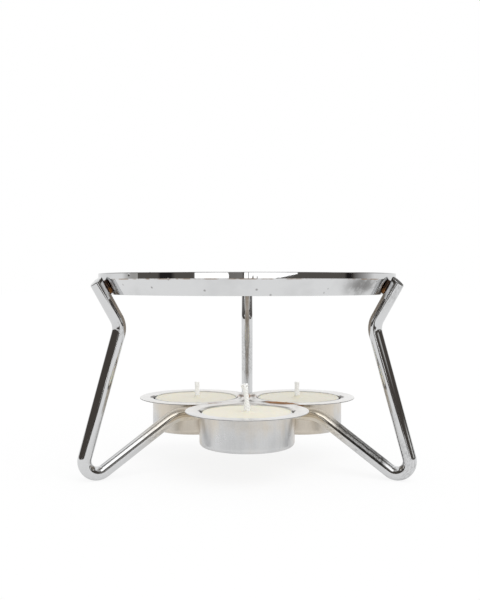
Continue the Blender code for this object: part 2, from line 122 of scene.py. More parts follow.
class StandRodSizes(bpy.types.PropertyGroup):
    """Sizes and angles of the bent rod legs."""

    diameter: FloatProperty(
        name="Rod diameter", description="Stock that the legs are bent from", default=0.006, unit="LENGTH"
    )
    film: FloatProperty(
        name="Braze film", description="Gap between rod and band that the braze fills",
        default=0.0006, unit="LENGTH",
    )
    kink_height: FloatProperty(
        name="Kink height", description="Height of the upper bend", default=0.0663, unit="LENGTH"
    )
    kink_bend: FloatProperty(
        name="Kink bend", description="Bend radius at the kink", default=0.009, unit="LENGTH"
    )
    lower_angle: FloatProperty(
        name="Lower angle", description="Slope of the lower leg",
        default=math.radians(74.1), subtype="ANGLE",
    )
    foot_bend: FloatProperty(
        name="Foot bend", description="Bend radius at the foot", default=0.0057, unit="LENGTH"
    )
    inner_angle: FloatProperty(
        name="Inner angle", description="Slope of the rod from the foot to the cups",
        default=math.radians(33.7), subtype="ANGLE",
    )
    inner_bend: FloatProperty(
        name="Inner bend", description="Bend radius under the cups", default=0.013, unit="LENGTH"
    )
    end_cut: FloatProperty(
        name="End cut", description="Angle of the sawn top end", default=math.radians(42.0), subtype="ANGLE"
    )
    end_crown: FloatProperty(
        name="End crown", description="How far the top end stands above its plane",
        default=0.0014, unit="LENGTH",
    )
    end_round: FloatProperty(
        name="End rounding", description="Filed edge of the top end", default=0.00035, unit="LENGTH"
    )
    front_leg_angle: FloatProperty(
        name="Front leg angle", description="From the front to a front leg",
        default=math.radians(64.0), subtype="ANGLE",
    )
    sides: IntProperty(name="Sides", description="Faces round the rod", default=56, min=8)
    bend_steps: IntProperty(name="Bend steps", description="Faces along each bend", default=28, min=2)


class StandCupSizes(bpy.types.PropertyGroup):
    """Sizes of the pressed candle cups."""

    sheet: FloatProperty(
        name="Sheet", description="Thickness of the cup's metal", default=0.0004, unit="LENGTH"
    )
    flange_width: FloatProperty(
        name="Flange width", description="From the wall to the edge", default=0.0062, unit="LENGTH"
    )
    flange_bend: FloatProperty(
        name="Flange bend", description="Radius into the cup", default=0.001, unit="LENGTH"
    )
    corner: FloatProperty(
        name="Corner", description="Outer radius at the floor", default=0.002, unit="LENGTH"
    )
    edge_round: FloatProperty(
        name="Edge rounding", description="Radius of the cut edge", default=0.00015, unit="LENGTH"
    )
    steps: IntProperty(name="Steps", description="Faces round a cup", default=224, min=12)


class StandTealightSizes(bpy.types.PropertyGroup):
    """Sizes of the tealights."""

    wall: FloatProperty(
        name="Case wall", description="Thickness of the case", default=0.00016, unit="LENGTH"
    )
    rim_width: FloatProperty(
        name="Rim width", description="How far the rolled rim stands out", default=0.00014, unit="LENGTH"
    )
    wax_gap: FloatProperty(
        name="Wax gap", description="Between wax and case", default=0.00003, unit="LENGTH"
    )
    rim_drop: FloatProperty(
        name="Rim drop", description="How far the front tealight is pressed down",
        default=0.0004, unit="LENGTH",
    )
    rim_height: FloatProperty(
        name="Rim height", description="Height of the rolled rim", default=0.0008, unit="LENGTH"
    )
    case_corner: FloatProperty(
        name="Case corner", description="Radius at the case's floor", default=0.001, unit="LENGTH"
    )
    steps: IntProperty(name="Steps", description="Faces round a case", default=160, min=12)
    wax_foot: FloatProperty(
        name="Wax foot", description="Height of the wax drawn up the wick", default=0.0014, unit="LENGTH"
    )
    wax_dish: FloatProperty(
        name="Wax dish", description="Sink of the wax between wick and case", default=0.00022, unit="LENGTH"
    )
    strands: IntProperty(name="Strands", description="Strands in a wick's braid", default=8, min=3)
    strand_radius: FloatProperty(
        name="Strand radius", description="Radius of one strand", default=0.00042, unit="LENGTH"
    )
    wick_flare: FloatProperty(
        name="Wick flare", description="How far a wick spreads where it enters the wax",
        default=0.0006, unit="LENGTH",
    )
    braid_pitch: FloatProperty(
        name="Braid pitch", description="Length of one turn of a strand", default=0.0052, unit="LENGTH"
    )


class StandFinishes(bpy.types.PropertyGroup):
    """Colours of the stand's finishes."""

    chrome: FloatVectorProperty(
        name="Chrome", description="Plated ring and legs", default=(0.69, 0.695, 0.70), subtype="COLOR"
    )
    steel: FloatVectorProperty(
        name="Satin steel", description="Pressed cups", default=(0.655, 0.66, 0.665), subtype="COLOR"
    )
    film: FloatVectorProperty(
        name="Smoke film", description="Film that the flames leave on the legs' inner sides",
        default=(0.215, 0.172, 0.128), subtype="COLOR",
    )
    warm_steel: FloatVectorProperty(
        name="Warmed steel", description="Steel near the brazed joints",
        default=(0.655, 0.60, 0.52), subtype="COLOR",
    )
    aluminium: FloatVectorProperty(
        name="Aluminium", description="Tealight cases", default=(0.88, 0.88, 0.875), subtype="COLOR"
    )
    wax: FloatVectorProperty(
        name="Wax", description="Candle wax", default=(0.84, 0.80, 0.67), subtype="COLOR"
    )
    wick: FloatVectorProperty(
        name="Wick", description="Cotton", default=(0.97, 0.97, 0.96), subtype="COLOR"
    )
    braze: FloatVectorProperty(
        name="Braze", description="Filler metal", default=(0.28, 0.12, 0.03), subtype="COLOR"
    )
    burnt: FloatVectorProperty(
        name="Burnt braze", description="Scale on the filler", default=(0.07, 0.045, 0.035), subtype="COLOR"
    )


class StandStudio(bpy.types.PropertyGroup):
    """The camera and the light."""

    camera_distance: FloatProperty(
        name="Camera distance", description="In front of the ring's axis", default=0.3825, unit="LENGTH"
    )
    camera_height: FloatProperty(
        name="Camera height", description="Above the floor", default=0.0851, unit="LENGTH"
    )
    camera_tilt: FloatProperty(
        name="Camera tilt", description="Below level", default=math.radians(1.227), subtype="ANGLE"
    )
    lens: FloatProperty(name="Lens", description="Focal length in millimetres", default=49.22)
    shift: FloatProperty(name="Shift", description="Sideways shift of the lens", default=-0.0118)
    key_strength: FloatProperty(name="Key strength", description="Strength of the soft lamp", default=1.25)
    key_spread: FloatProperty(
        name="Key spread", description="Width of the soft lamp as the stand sees it",
        default=math.radians(50.0), subtype="ANGLE",
    )
    key_direction: FloatVectorProperty(
        name="Key direction", description="From the stand to the soft lamp",
        default=(0.3, -0.5, 0.9), subtype="DIRECTION",
    )
    fill: FloatProperty(name="Fill", description="Light of the room on rough surfaces", default=0.75)
    mirrored_glow: FloatProperty(
        name="Mirrored glow", description="How even the floor is where the metal mirrors it", default=0.6
    )
    floor_glow: FloatProperty(
        name="Floor glow", description="How far the floor is white to the camera", default=0.86
    )


def rounded_supports(corners, bends, support):
    """Corners with two plain points beside each bend, which keep the faces between bends flat."""
    points = []
    radii = []
    count = len(corners)
    for index, (corner, radius) in enumerate(zip(corners, bends)):
        here = Vector(corner)
        if radius:
            before = (Vector(corners[index - 1]) - here).normalized()
            after = (Vector(corners[(index + 1) % count]) - here).normalized()
            reach = radius / math.tan(before.angle(after) / 2) + support
            points += [here + before * reach, here, here + after * reach]
            radii += [0.0, radius, 0.0]
        else:
            points.append(here)
            radii.append(0.0)
    return points, radii


def outline_mesh(name, points, radii, closed=False):
    """A chain of edges in the XY plane or in space, with the bend radius stored on each point."""
    mesh = bpy.data.meshes.new(name)
    edges = [(index, index + 1) for index in range(len(points) - 1)]
    if closed:
        edges.append((len(points) - 1, 0))
    mesh.from_pydata([tuple(Vector(point).to_3d()) for point in points], edges, [])
    mesh.attributes.new(BEND, "FLOAT", "POINT").data.foreach_set("value", radii)
    return mesh


def linked(name, data):
    """An object that is in the scene."""
    made = bpy.data.objects.new(name, data)
    bpy.context.scene.collection.objects.link(made)
    return made


def set_inputs(tree, sockets, values):
    """Sets each named input to its value, or links it where the value is another node's socket."""
    for name, value in values.items():
        if isinstance(value, bpy.types.NodeSocket):
            tree.links.new(value, sockets[name])
        else:
            sockets[name].default_value = value


def add(tree, kind, inputs=None, **settings):
    """A node with its settings and its inputs."""
    made = tree.nodes.new(kind)
    made.location = (180.0 * (len(tree.nodes) % 12), -220.0 * (len(tree.nodes) // 12))
    for name, value in settings.items():
        setattr(made, name, value)
    set_inputs(tree, made.inputs, inputs or {})
    return made


def new_tree(name, kind, inputs, output, output_type):
    """A node tree with one output. Each named input has its default, or its type where it has none."""
    tree = bpy.data.node_groups.new(name, kind)
    for label, default in inputs.items():
        plain = isinstance(default, str)
        socket_type = default if plain else SOCKET_TYPES[type(default)]
        socket = tree.interface.new_socket(label, in_out="INPUT", socket_type="NodeSocket" + socket_type)
        if not plain:
            socket.default_value = default
    tree.interface.new_socket(output, in_out="OUTPUT", socket_type="NodeSocket" + output_type)
    inlet = tree.nodes.new("NodeGroupInput")
    outlet = tree.nodes.new("NodeGroupOutput")
    return tree, inlet.outputs, outlet.inputs[0]


def math_node(tree, operation, first, second=0.0, third=0.0):
    """The result of a Math node."""
    return add(tree, "ShaderNodeMath", {0: first, 1: second, 2: third}, operation=operation).outputs[0]


def product(tree, first, *others):
    """The product of two or more values."""
    for other in others:
        first = math_node(tree, "MULTIPLY", first, other)
    return first


def total(tree, first, *others):
    """The sum of two or more values."""
    for other in others:
        first = math_node(tree, "ADD", first, other)
    return first


def less(tree, first, second):
    """One value less another."""
    return math_node(tree, "SUBTRACT", first, second)


def layered(tree, base, *layers):
    """A base value, to which each layer's value is added as strongly as given."""
    for value, strength in layers:
        base = math_node(tree, "MULTIPLY_ADD", value, strength, base)
    return base


def vector_node(tree, operation, inputs):
    """The vector that a Vector Math node gives."""
    return add(tree, "ShaderNodeVectorMath", inputs, operation=operation).outputs[0]


def stretched(tree, vector, factors):
    """A vector with each part multiplied by its factor."""
    return vector_node(tree, "MULTIPLY", {0: vector, 1: factors})


def apart(tree, place, spot):
    """The distance between two places."""
    return add(tree, "ShaderNodeVectorMath", {0: place, 1: spot}, operation="DISTANCE").outputs["Value"]


def split(tree, vector):
    """The three parts of a vector."""
    return add(tree, "ShaderNodeSeparateXYZ", {0: vector}).outputs


def joined(tree, first, second, third=0.0):
    """A vector from its three parts."""
    return add(tree, "ShaderNodeCombineXYZ", {0: first, 1: second, 2: third}).outputs[0]


def noise(tree, vector, scale, detail=2.0, roughness=0.5):
    """A noise value round 0.5."""
    inputs = {"Vector": vector, "Scale": scale, "Detail": detail, "Roughness": roughness}
    return add(tree, "ShaderNodeTexNoise", inputs).outputs["Fac"]


def seeded_noise(tree, vector, seed, scale, detail):
    """Noise that differs with a seed, as a value and a colour."""
    inputs = {"Vector": vector, "W": seed, "Scale": scale, "Detail": detail}
    return add(tree, "ShaderNodeTexNoise", inputs, noise_dimensions="4D").outputs


def ranged(tree, value, low, high, to_low=0.0, to_high=1.0, smooth=True):
    """A value mapped from one range to another, and held at its ends."""
    inputs = {"Value": value, "From Min": low, "From Max": high, "To Min": to_low, "To Max": to_high}
    course = "SMOOTHSTEP" if smooth else "LINEAR"
    return add(tree, "ShaderNodeMapRange", inputs, interpolation_type=course).outputs[0]


def blended(tree, factor, first, second, blend="MIX"):
    """Two colours blended by a factor."""
    inputs = {0: factor, 6: first, 7: second}
    return add(tree, "ShaderNodeMix", inputs, data_type="RGBA", blend_type=blend).outputs[2]


def colour(value, strength=1.0):
    """A colour with its alpha, darkened or lightened by a factor."""
    return (strength * value[0], strength * value[1], strength * value[2], 1.0)


def stained(tree, base, mask, strength, tint):
    """A colour with another one over it where a mask is."""
    return blended(tree, product(tree, mask, strength), base, colour(tint))


def toned(tree, base, *factors):
    """A colour darkened or lightened by each factor in turn."""
    for factor in factors:
        base = blended(tree, 1.0, base, factor, "MULTIPLY")
    return base


def grown(name, source, tree_name, inputs, place=None):
    """A plain mesh object: a Geometry Nodes tree run on a source mesh, then put in place."""
    tree = bpy.data.node_groups[tree_name]
    holder = linked(name + "_source", source)
    modifier = holder.modifiers.new(tree_name, "NODES")
    modifier.node_group = tree
    for item in tree.interface.items_tree:
        if item.in_out == "INPUT" and item.name in inputs:
            modifier[item.identifier] = inputs[item.name]
    bpy.context.view_layer.update()
    graph = bpy.context.evaluated_depsgraph_get()
    mesh = bpy.data.meshes.new_from_object(holder.evaluated_get(graph))
    bpy.data.objects.remove(holder)
    mesh.name = name
    if place is not None:
        mesh.transform(place)
    return linked(name, mesh)


def turned(name, section, support, centre, inputs, closed=False):
    """A part turned about the upright axis at its centre, from its section's corners and bends."""
    points, radii = rounded_supports(*section, support)
    source = outline_mesh(name + "_outline", points, radii, closed)
    return grown(name, source, "Turned Part", inputs, Matrix.Translation(centre))


def fitted(piece, body, slot, *nodes):
    """The piece rides on a body and stands for its solids, which are hidden. The slot is not used."""
    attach(piece, body)
    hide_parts(*nodes)
    return piece


def position(tree):
    """Where each point of a shape is."""
    return add(tree, "GeometryNodeInputPosition").outputs[0]


def captured(tree, geometry, kind, value):
    """The geometry with a value read on its points, and the value as read there."""
    node = tree.nodes.new("GeometryNodeCaptureAttribute")
    node.capture_items.new(kind, "Value")
    tree.links.new(geometry, node.inputs[0])
    tree.links.new(value, node.inputs[1])
    return node.outputs[0], node.outputs[1]


def filleted_curve(tree, inlet):
    """The outline as a curve whose corners are rounded by the radius stored on each point, and the
    length along it."""
    chain = add(tree, "GeometryNodeMeshToCurve", {"Mesh": inlet["Outline"]}).outputs[0]
    bend = add(tree, "GeometryNodeInputNamedAttribute", {"Name": BEND}, data_type="FLOAT").outputs[0]
    inputs = {"Curve": chain, "Count": inlet["Arc Steps"], "Radius": bend}
    curve = add(tree, "GeometryNodeFilletCurve", inputs, mode="POLY").outputs[0]
    return captured(tree, curve, "FLOAT", add(tree, "GeometryNodeSplineParameter").outputs["Length"])


def circle_curve(tree, steps, radius):
    """A circle round the origin."""
    inputs = {"Resolution": steps, "Radius": radius}
    return add(tree, "GeometryNodeCurvePrimitiveCircle", inputs, mode="RADIUS").outputs[0]


def swept(tree, path, section, caps):
    """The mesh that a section makes along a path."""
    inputs = {"Curve": path, "Profile Curve": section, "Fill Caps": caps}
    return add(tree, "GeometryNodeCurveToMesh", inputs).outputs[0]


def stored(tree, geometry, name, value, data_type="FLOAT_VECTOR"):
    """The geometry with a value stored on its points for its material."""
    inputs = {"Geometry": geometry, "Name": name, "Value": value}
    settings = {"data_type": data_type, "domain": "POINT"}
    return add(tree, "GeometryNodeStoreNamedAttribute", inputs, **settings).outputs[0]


def finished_mesh(tree, outlet, mesh, finish):
    """Ends a tree: smooth shading, real geometry and the finish."""
    smooth = add(tree, "GeometryNodeSetShadeSmooth", {"Geometry": mesh}).outputs[0]
    real = add(tree, "GeometryNodeRealizeInstances", {"Geometry": smooth}).outputs[0]
    dressed = add(tree, "GeometryNodeSetMaterial", {"Geometry": real, "Material": finish}).outputs[0]
    tree.links.new(dressed, outlet)


def bent_rod_tree():
    """A round rod along an outline, with its own space stored: across, across and along the rod."""
    inputs = {**SWEEP_INPUTS, "Rod Radius": 0.003, "Sides": 32}
    tree, inlet, outlet = new_tree("Bent Rod", "GeometryNodeTree", inputs, "Geometry", "Geometry")
    path, along = filleted_curve(tree, inlet)
    circle = circle_curve(tree, inlet["Sides"], inlet["Rod Radius"])
    circle, across = captured(tree, circle, "VECTOR", position(tree))
    sides = split(tree, across)
    space = joined(tree, sides[0], sides[1], along)
    mesh = stored(tree, swept(tree, path, circle, True), ROD_SPACE, space)
    finished_mesh(tree, outlet, mesh, inlet["Finish"])


def turned_part_tree():
    """An outline of (radius, height) turned about Z, with its own space stored: the direction
    from the axis as two numbers, and the length along the outline."""
    inputs = {**SWEEP_INPUTS, "Steps": 96, "Weld": WELD_DISTANCE, "Wheel Radius": 0.01}
    tree, inlet, outlet = new_tree("Turned Part", "GeometryNodeTree", inputs, "Geometry", "Geometry")
    profile, along = filleted_curve(tree, inlet)
    place = split(tree, position(tree))
    local = joined(tree, less(tree, place[0], inlet["Wheel Radius"]), product(tree, place[1], -1.0))
    profile = add(tree, "GeometryNodeSetPosition", {"Geometry": profile, "Position": local}).outputs[0]
    wheel = circle_curve(tree, inlet["Steps"], inlet["Wheel Radius"])
    wheel, direction = captured(tree, wheel, "VECTOR", vector_node(tree, "NORMALIZE", {0: position(tree)}))
    spokes = split(tree, direction)
    space = joined(tree, spokes[0], spokes[1], along)
    mesh = stored(tree, swept(tree, wheel, profile, False), TURN_SPACE, space)
    mesh = add(tree, "GeometryNodeMergeByDistance", {"Geometry": mesh, "Distance": inlet["Weld"]}).outputs[0]
    finished_mesh(tree, outlet, mesh, inlet["Finish"])


def lumpy_bead_tree():
    """A smooth bead whose surface is pushed in and out, as filler metal sets."""
    inputs = {
        "Bead": "Geometry", "Lump Size": 0.002, "Lump Height": 0.0005, "Fresh Below": 0.0, "Burnt Above": 1.0,
        "Seed": 0.0, "Finish": "Material",
    }
    tree, inlet, outlet = new_tree("Lumpy Bead", "GeometryNodeTree", inputs, "Geometry", "Geometry")
    place = position(tree)
    scale = math_node(tree, "DIVIDE", 1.0, inlet["Lump Size"])
    lumps = seeded_noise(tree, place, inlet["Seed"], scale, 2.0)["Fac"]
    height = product(tree, less(tree, lumps, 0.5), inlet["Lump Height"])
    normal = add(tree, "GeometryNodeInputNormal").outputs[0]
    offset = vector_node(tree, "SCALE", {0: normal, "Scale": height})
    mesh = add(tree, "GeometryNodeSetPosition", {"Geometry": inlet["Bead"], "Offset": offset}).outputs[0]
    fresh = ranged(tree, split(tree, place)[2], inlet["Fresh Below"], inlet["Burnt Above"], 1.0, 0.0)
    finished_mesh(tree, outlet, stored(tree, mesh, FRESH, fresh, "FLOAT"), inlet["Finish"])


def braided_wick_tree():
    """Strands that wind round a wick's line both ways, and fray at its end."""
    inputs = {
        "Line": "Geometry", "Strands": 8, "Strand Radius": 0.00036, "Braid Radius": 0.0007, "Pitch": 0.005,
        "Step": 0.0002, "Fray": 0.0, "Wax Level": 0.013, "Flare": 0.0005, "Seed": 0.0, "Finish": "Material",
    }
    tree, inlet, outlet = new_tree("Braided Wick", "GeometryNodeTree", inputs, "Geometry", "Geometry")
    chain = add(tree, "GeometryNodeMeshToCurve", {"Mesh": inlet["Line"]}).outputs[0]
    even = {"Curve": chain, "Length": inlet["Step"]}
    chain = add(tree, "GeometryNodeResampleCurve", even, mode="LENGTH").outputs[0]
    parameter = add(tree, "GeometryNodeSplineParameter").outputs
    chain, along = captured(tree, chain, "FLOAT", parameter["Length"])
    chain, share = captured(tree, chain, "FLOAT", parameter["Factor"])
    copies = {"Geometry": chain, "Amount": inlet["Strands"]}
    strands, index = add(tree, "GeometryNodeDuplicateElements", copies, domain="SPLINE").outputs
    hand = layered(tree, 1.0, (math_node(tree, "MODULO", index, 2.0), -2.0))
    turn = product(tree, math_node(tree, "DIVIDE", along, inlet["Pitch"]), FULL_TURN)
    start = product(tree, math_node(tree, "DIVIDE", index, inlet["Strands"]), FULL_TURN)
    angle = layered(tree, start, (turn, hand))
    loose = product(tree, math_node(tree, "POWER", share, 11.0), inlet["Fray"])
    spread = layered(tree, inlet["Braid Radius"], (loose, 0.6))
    foot = ranged(tree, less(tree, along, inlet["Wax Level"]), 0.0, 0.0055, 1.0, 0.0)
    spread = total(tree, spread, product(tree, foot, inlet["Flare"]))
    across = product(tree, math_node(tree, "COSINE", angle), spread)
    deep = product(tree, math_node(tree, "SINE", angle), spread)
    wander = seeded_noise(tree, position(tree), total(tree, index, inlet["Seed"]), 900.0, 1.0)["Color"]
    centred = vector_node(tree, "SUBTRACT", {0: wander, 1: (0.5, 0.5, 0.5)})
    stray = vector_node(tree, "SCALE", {0: centred, "Scale": product(tree, loose, 2.4)})
    offset = vector_node(tree, "ADD", {0: joined(tree, across, deep), 1: stray})
    strands = add(tree, "GeometryNodeSetPosition", {"Geometry": strands, "Offset": offset}).outputs[0]
    swollen = math_node(tree, "DIVIDE", layered(tree, loose, (foot, inlet["Flare"])), inlet["Strand Radius"])
    swollen = layered(tree, 1.0, (swollen, 0.45))
    strands = add(tree, "GeometryNodeSetCurveRadius", {"Curve": strands, "Radius": swollen}).outputs[0]
    mesh = swept(tree, strands, circle_curve(tree, 10, inlet["Strand Radius"]), True)
    finished_mesh(tree, outlet, mesh, inlet["Finish"])


def nearest_joint_group():
    """The distance from a place to the nearest of three joints."""
    inputs = dict.fromkeys(("Place", "Rear Joint", "Left Joint", "Right Joint"), "Vector")
    tree, inlet, outlet = new_tree("Nearest Joint", "ShaderNodeTree", inputs, "Distance", "Float")
    rear, left, right = [apart(tree, inlet["Place"], inlet[leg.title() + " Joint"]) for leg in LEGS]
    nearest = math_node(tree, "MINIMUM", math_node(tree, "MINIMUM", rear, left), right)
    tree.links.new(nearest, outlet)


def heat_tint_group():
    """Colours that heat leaves on plated steel: brown at the joint, then straw and a trace of violet."""
    inputs = {"Clean Colour": (0.7, 0.7, 0.7, 1.0), "Distance": 0.0, "Reach": 0.01, "Place": "Vector"}
    tree, inlet, outlet = new_tree("Heat Tint", "ShaderNodeTree", inputs, "Colour", "Color")
    ragged = noise(tree, inlet["Place"], 420.0, 3.0, 0.6)
    share = math_node(tree, "DIVIDE", inlet["Distance"], inlet["Reach"])
    share = total(tree, share, layered(tree, -0.15, (ragged, 0.3)))
    ramp = add(tree, "ShaderNodeValToRGB", {"Fac": share})
    stops = ramp.color_ramp.elements
    stops[0].position = 0.30
    stops[0].color = (0.15, 0.09, 0.065, 1.0)
    stops[1].position = 1.0
    stops[1].color = (1.0, 1.0, 1.0, 1.0)
    for place, tint in ((0.55, (0.34, 0.22, 0.15)), (0.75, (0.66, 0.57, 0.50)), (0.90, (0.88, 0.85, 0.87))):
        stops.new(place).color = colour(tint)
    tree.links.new(toned(tree, inlet["Clean Colour"], ramp.outputs[0]), outlet)


def pits_group():
    """Small scattered pits: 1 in a pit and 0 elsewhere."""
    inputs = {"Place": "Vector", "Spacing": 0.004, "Size Share": 0.08, "Share Pitted": 0.3}
    tree, inlet, outlet = new_tree("Pits", "ShaderNodeTree", inputs, "Mask", "Float")
    scale = math_node(tree, "DIVIDE", 1.0, inlet["Spacing"])
    cells = add(tree, "ShaderNodeTexVoronoi", {"Vector": inlet["Place"], "Scale": scale}).outputs
    inside = ranged(tree, cells["Distance"], inlet["Size Share"], 0.0, smooth=False)
    chance = add(tree, "ShaderNodeSeparateColor", {0: cells["Color"]}).outputs[0]
    chosen = math_node(tree, "LESS_THAN", chance, inlet["Share Pitted"])
    tree.links.new(product(tree, inside, chosen), outlet)


def plating_group():
    """Height of a plated surface: the wide unevenness of the metal and a fine ripple of the plating."""
    inputs = {
        "Place": "Vector", "Wave Length": 0.018, "Wave Height": 0.0001, "Ripple Length": 0.0016,
        "Ripple Height": 0.000001,
    }
    tree, inlet, outlet = new_tree("Plating", "ShaderNodeTree", inputs, "Height", "Float")
    wide = noise(tree, inlet["Place"], math_node(tree, "DIVIDE", 1.0, inlet["Wave Length"]), 1.0)
    fine = noise(tree, inlet["Place"], math_node(tree, "DIVIDE", 1.0, inlet["Ripple Length"]), 2.0)
    wide = product(tree, wide, inlet["Wave Height"])
    tree.links.new(layered(tree, wide, (fine, inlet["Ripple Height"])), outlet)


def drawn_lines_group():
    """Lines that drawing or rolling leaves along a metal's last coordinate."""
    inputs = {"Space": "Vector", "Line Count": 60.0, "Along Scale": 12.0}
    tree, inlet, outlet = new_tree("Drawn Lines", "ShaderNodeTree", inputs, "Value", "Float")
    scale = joined(tree, inlet["Line Count"], inlet["Line Count"], inlet["Along Scale"])
    tree.links.new(noise(tree, stretched(tree, inlet["Space"], scale), 1.0, 4.0, 0.65), outlet)


def soft_card_group():
    """Where a card shows: 1 inside its edges and less where they are soft. Angles are in degrees."""
    inputs = {
        "Place": "Vector", "Left": -10.0, "Right": 10.0, "Bottom": -10.0, "Top": 10.0, "Left Blur": 0.1,
        "Right Blur": 0.1, "Bottom Blur": 0.1, "Top Blur": 0.1, "Slant": 0.0,
    }
    tree, inlet, outlet = new_tree("Soft Card", "ShaderNodeTree", inputs, "Mask", "Float")
    across, up = split(tree, inlet["Place"])[:2]
    middle = product(tree, total(tree, inlet["Bottom"], inlet["Top"]), 0.5)
    lean = product(tree, less(tree, up, middle), inlet["Slant"])
    lean = math_node(tree, "MINIMUM", math_node(tree, "MAXIMUM", lean, -CARD_LEAN), CARD_LEAN)
    left = total(tree, inlet["Left"], lean)
    edges = (
        (across, left, total(tree, left, inlet["Left Blur"])),
        (across, inlet["Right"], less(tree, inlet["Right"], inlet["Right Blur"])),
        (up, inlet["Bottom"], total(tree, inlet["Bottom"], inlet["Bottom Blur"])),
        (up, inlet["Top"], less(tree, inlet["Top"], inlet["Top Blur"])),
    )
    masks = [ranged(tree, angle, outside, inside, smooth=False) for angle, outside, inside in edges]
    tree.links.new(product(tree, *masks), outlet)


def placed(tree, name, **inputs):
    """A shared group in a material, with its inputs given by name."""
    node = add(tree, "ShaderNodeGroup", node_tree=bpy.data.node_groups[name])
    set_inputs(tree, node.inputs, {label.replace("_", " ").title(): value for label, value in inputs.items()})
    return node.outputs[0]


def new_material(name, tint):
    """A material with its tree, its Principled shader's inputs and the object's own coordinates."""
    made = bpy.data.materials.new(name)
    made.use_nodes = True
    made.diffuse_color = colour(tint)
    tree = made.node_tree
    shader = tree.nodes["Principled BSDF"].inputs
    place = add(tree, "ShaderNodeTexCoord").outputs["Object"]
    return made, tree, shader, place


def attribute(tree, name):
    """A vector that the piece's mesh stores."""
    return add(tree, "ShaderNodeAttribute", attribute_name=name).outputs["Vector"]


def bumped(tree, height, distance=1.0):
    """A normal from a height in metres, or from a value and the height that it stands for."""
    return add(tree, "ShaderNodeBump", {"Height": height, "Distance": distance, "Strength": 1.0}).outputs[0]


def joints(prefix):
    """Middles of the three beads of one kind: (rear, left, right)."""
    boxes = [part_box(prefix + leg) for leg in LEGS]
    return [(low + high) / 2 for low, high in boxes]


def joint_distance(tree, place, places):
    """The distance to the nearest of three joints."""
    rear, left, right = places
    return placed(tree, "Nearest Joint", place=place, rear_joint=rear, left_joint=left, right_joint=right)


def axis_distance(tree, place):
    """The distance from the stand's upright axis."""
    return apart(tree, stretched(tree, place, (1.0, 1.0, 0.0)), AXIS)


def plating(tree, place, wave, ripple):
    """A plated surface's height, from the length and the height of its waves and of its ripple."""
    return placed(
        tree, "Plating", place=place, wave_length=wave[0], wave_height=wave[1], ripple_length=ripple[0],
        ripple_height=ripple[1],
    )


def chrome_ring_material(context):
    """Polished plate on rolled sheet: faint waves, pits, a worn patch, and brown beside the legs."""
    tint = context.scene.stand_finishes.chrome
    made, tree, shader, place = new_material("chrome_ring", tint)
    # Heights count half, so that the brown follows the joints' upright lines
    halved = [Vector((joint.x, joint.y, joint.z / 2)) for joint in joints("ring_braze_")]
    distance = joint_distance(tree, stretched(tree, place, (1.0, 1.0, 0.5)), halved)
    crease = crease_height(context.scene.stand_ring)
    level = split(tree, place)[2]
    collar = ranged(tree, level, crease - 0.0002, crease + 0.0002)
    distance = layered(tree, distance, (collar, 0.05))
    film = ranged(tree, noise(tree, place, 46.0, 3.0, 0.6), 0.42, 0.70)
    clean = blended(tree, film, colour(tint, 1.04), colour(tint, 0.92))
    # The worn patch is wide and low, at the front right
    angle = math.radians(45.0)
    radius = 0.066
    middle = 0.0842
    squat = 2.2
    spot = AXIS + Vector((radius * math.sin(angle), -radius * math.cos(angle), middle * squat))
    patch = ranged(tree, apart(tree, stretched(tree, place, (1.0, 1.0, squat)), spot), 0.0155, 0.002)
    cloudy = ranged(tree, noise(tree, place, 230.0, 3.0), 0.36, 0.58, 0.45, 1.0)
    patch = product(tree, patch, ranged(tree, collar, 0.0, 1.0, 1.0, 0.15), cloudy)
    clean = stained(tree, clean, patch, 0.85, (0.17, 0.165, 0.16))
    pits = placed(tree, "Pits", place=place, spacing=0.0045, size_share=0.15, share_pitted=0.85)
    clean = stained(tree, clean, pits, 0.8, (0.10, 0.09, 0.08))
    # A brown-dark line along the crease between collar and band: painted shade in the crease
    line = ranged(tree, math_node(tree, "ABSOLUTE", less(tree, level, crease)), 0.00032, 0.0001)
    line = product(tree, line, ranged(tree, noise(tree, place, 210.0, 2.0), 0.42, 0.60))
    clean = stained(tree, clean, line, 0.75, (0.26, 0.17, 0.10))
    tinted = placed(tree, "Heat Tint", clean_colour=clean, distance=distance, reach=0.0024, place=place)
    height = plating(tree, place, (0.016, 0.000022), (0.0022, 0.0000006))
    set_inputs(tree, shader, {
        "Base Color": tinted,
        "Metallic": 1.0,
        "Roughness": layered(tree, 0.011, (film, 0.02), (patch, 0.22), (pits, 0.3)),
        "Normal": bumped(tree, layered(tree, height, (pits, -0.00004))),
    })
    return made


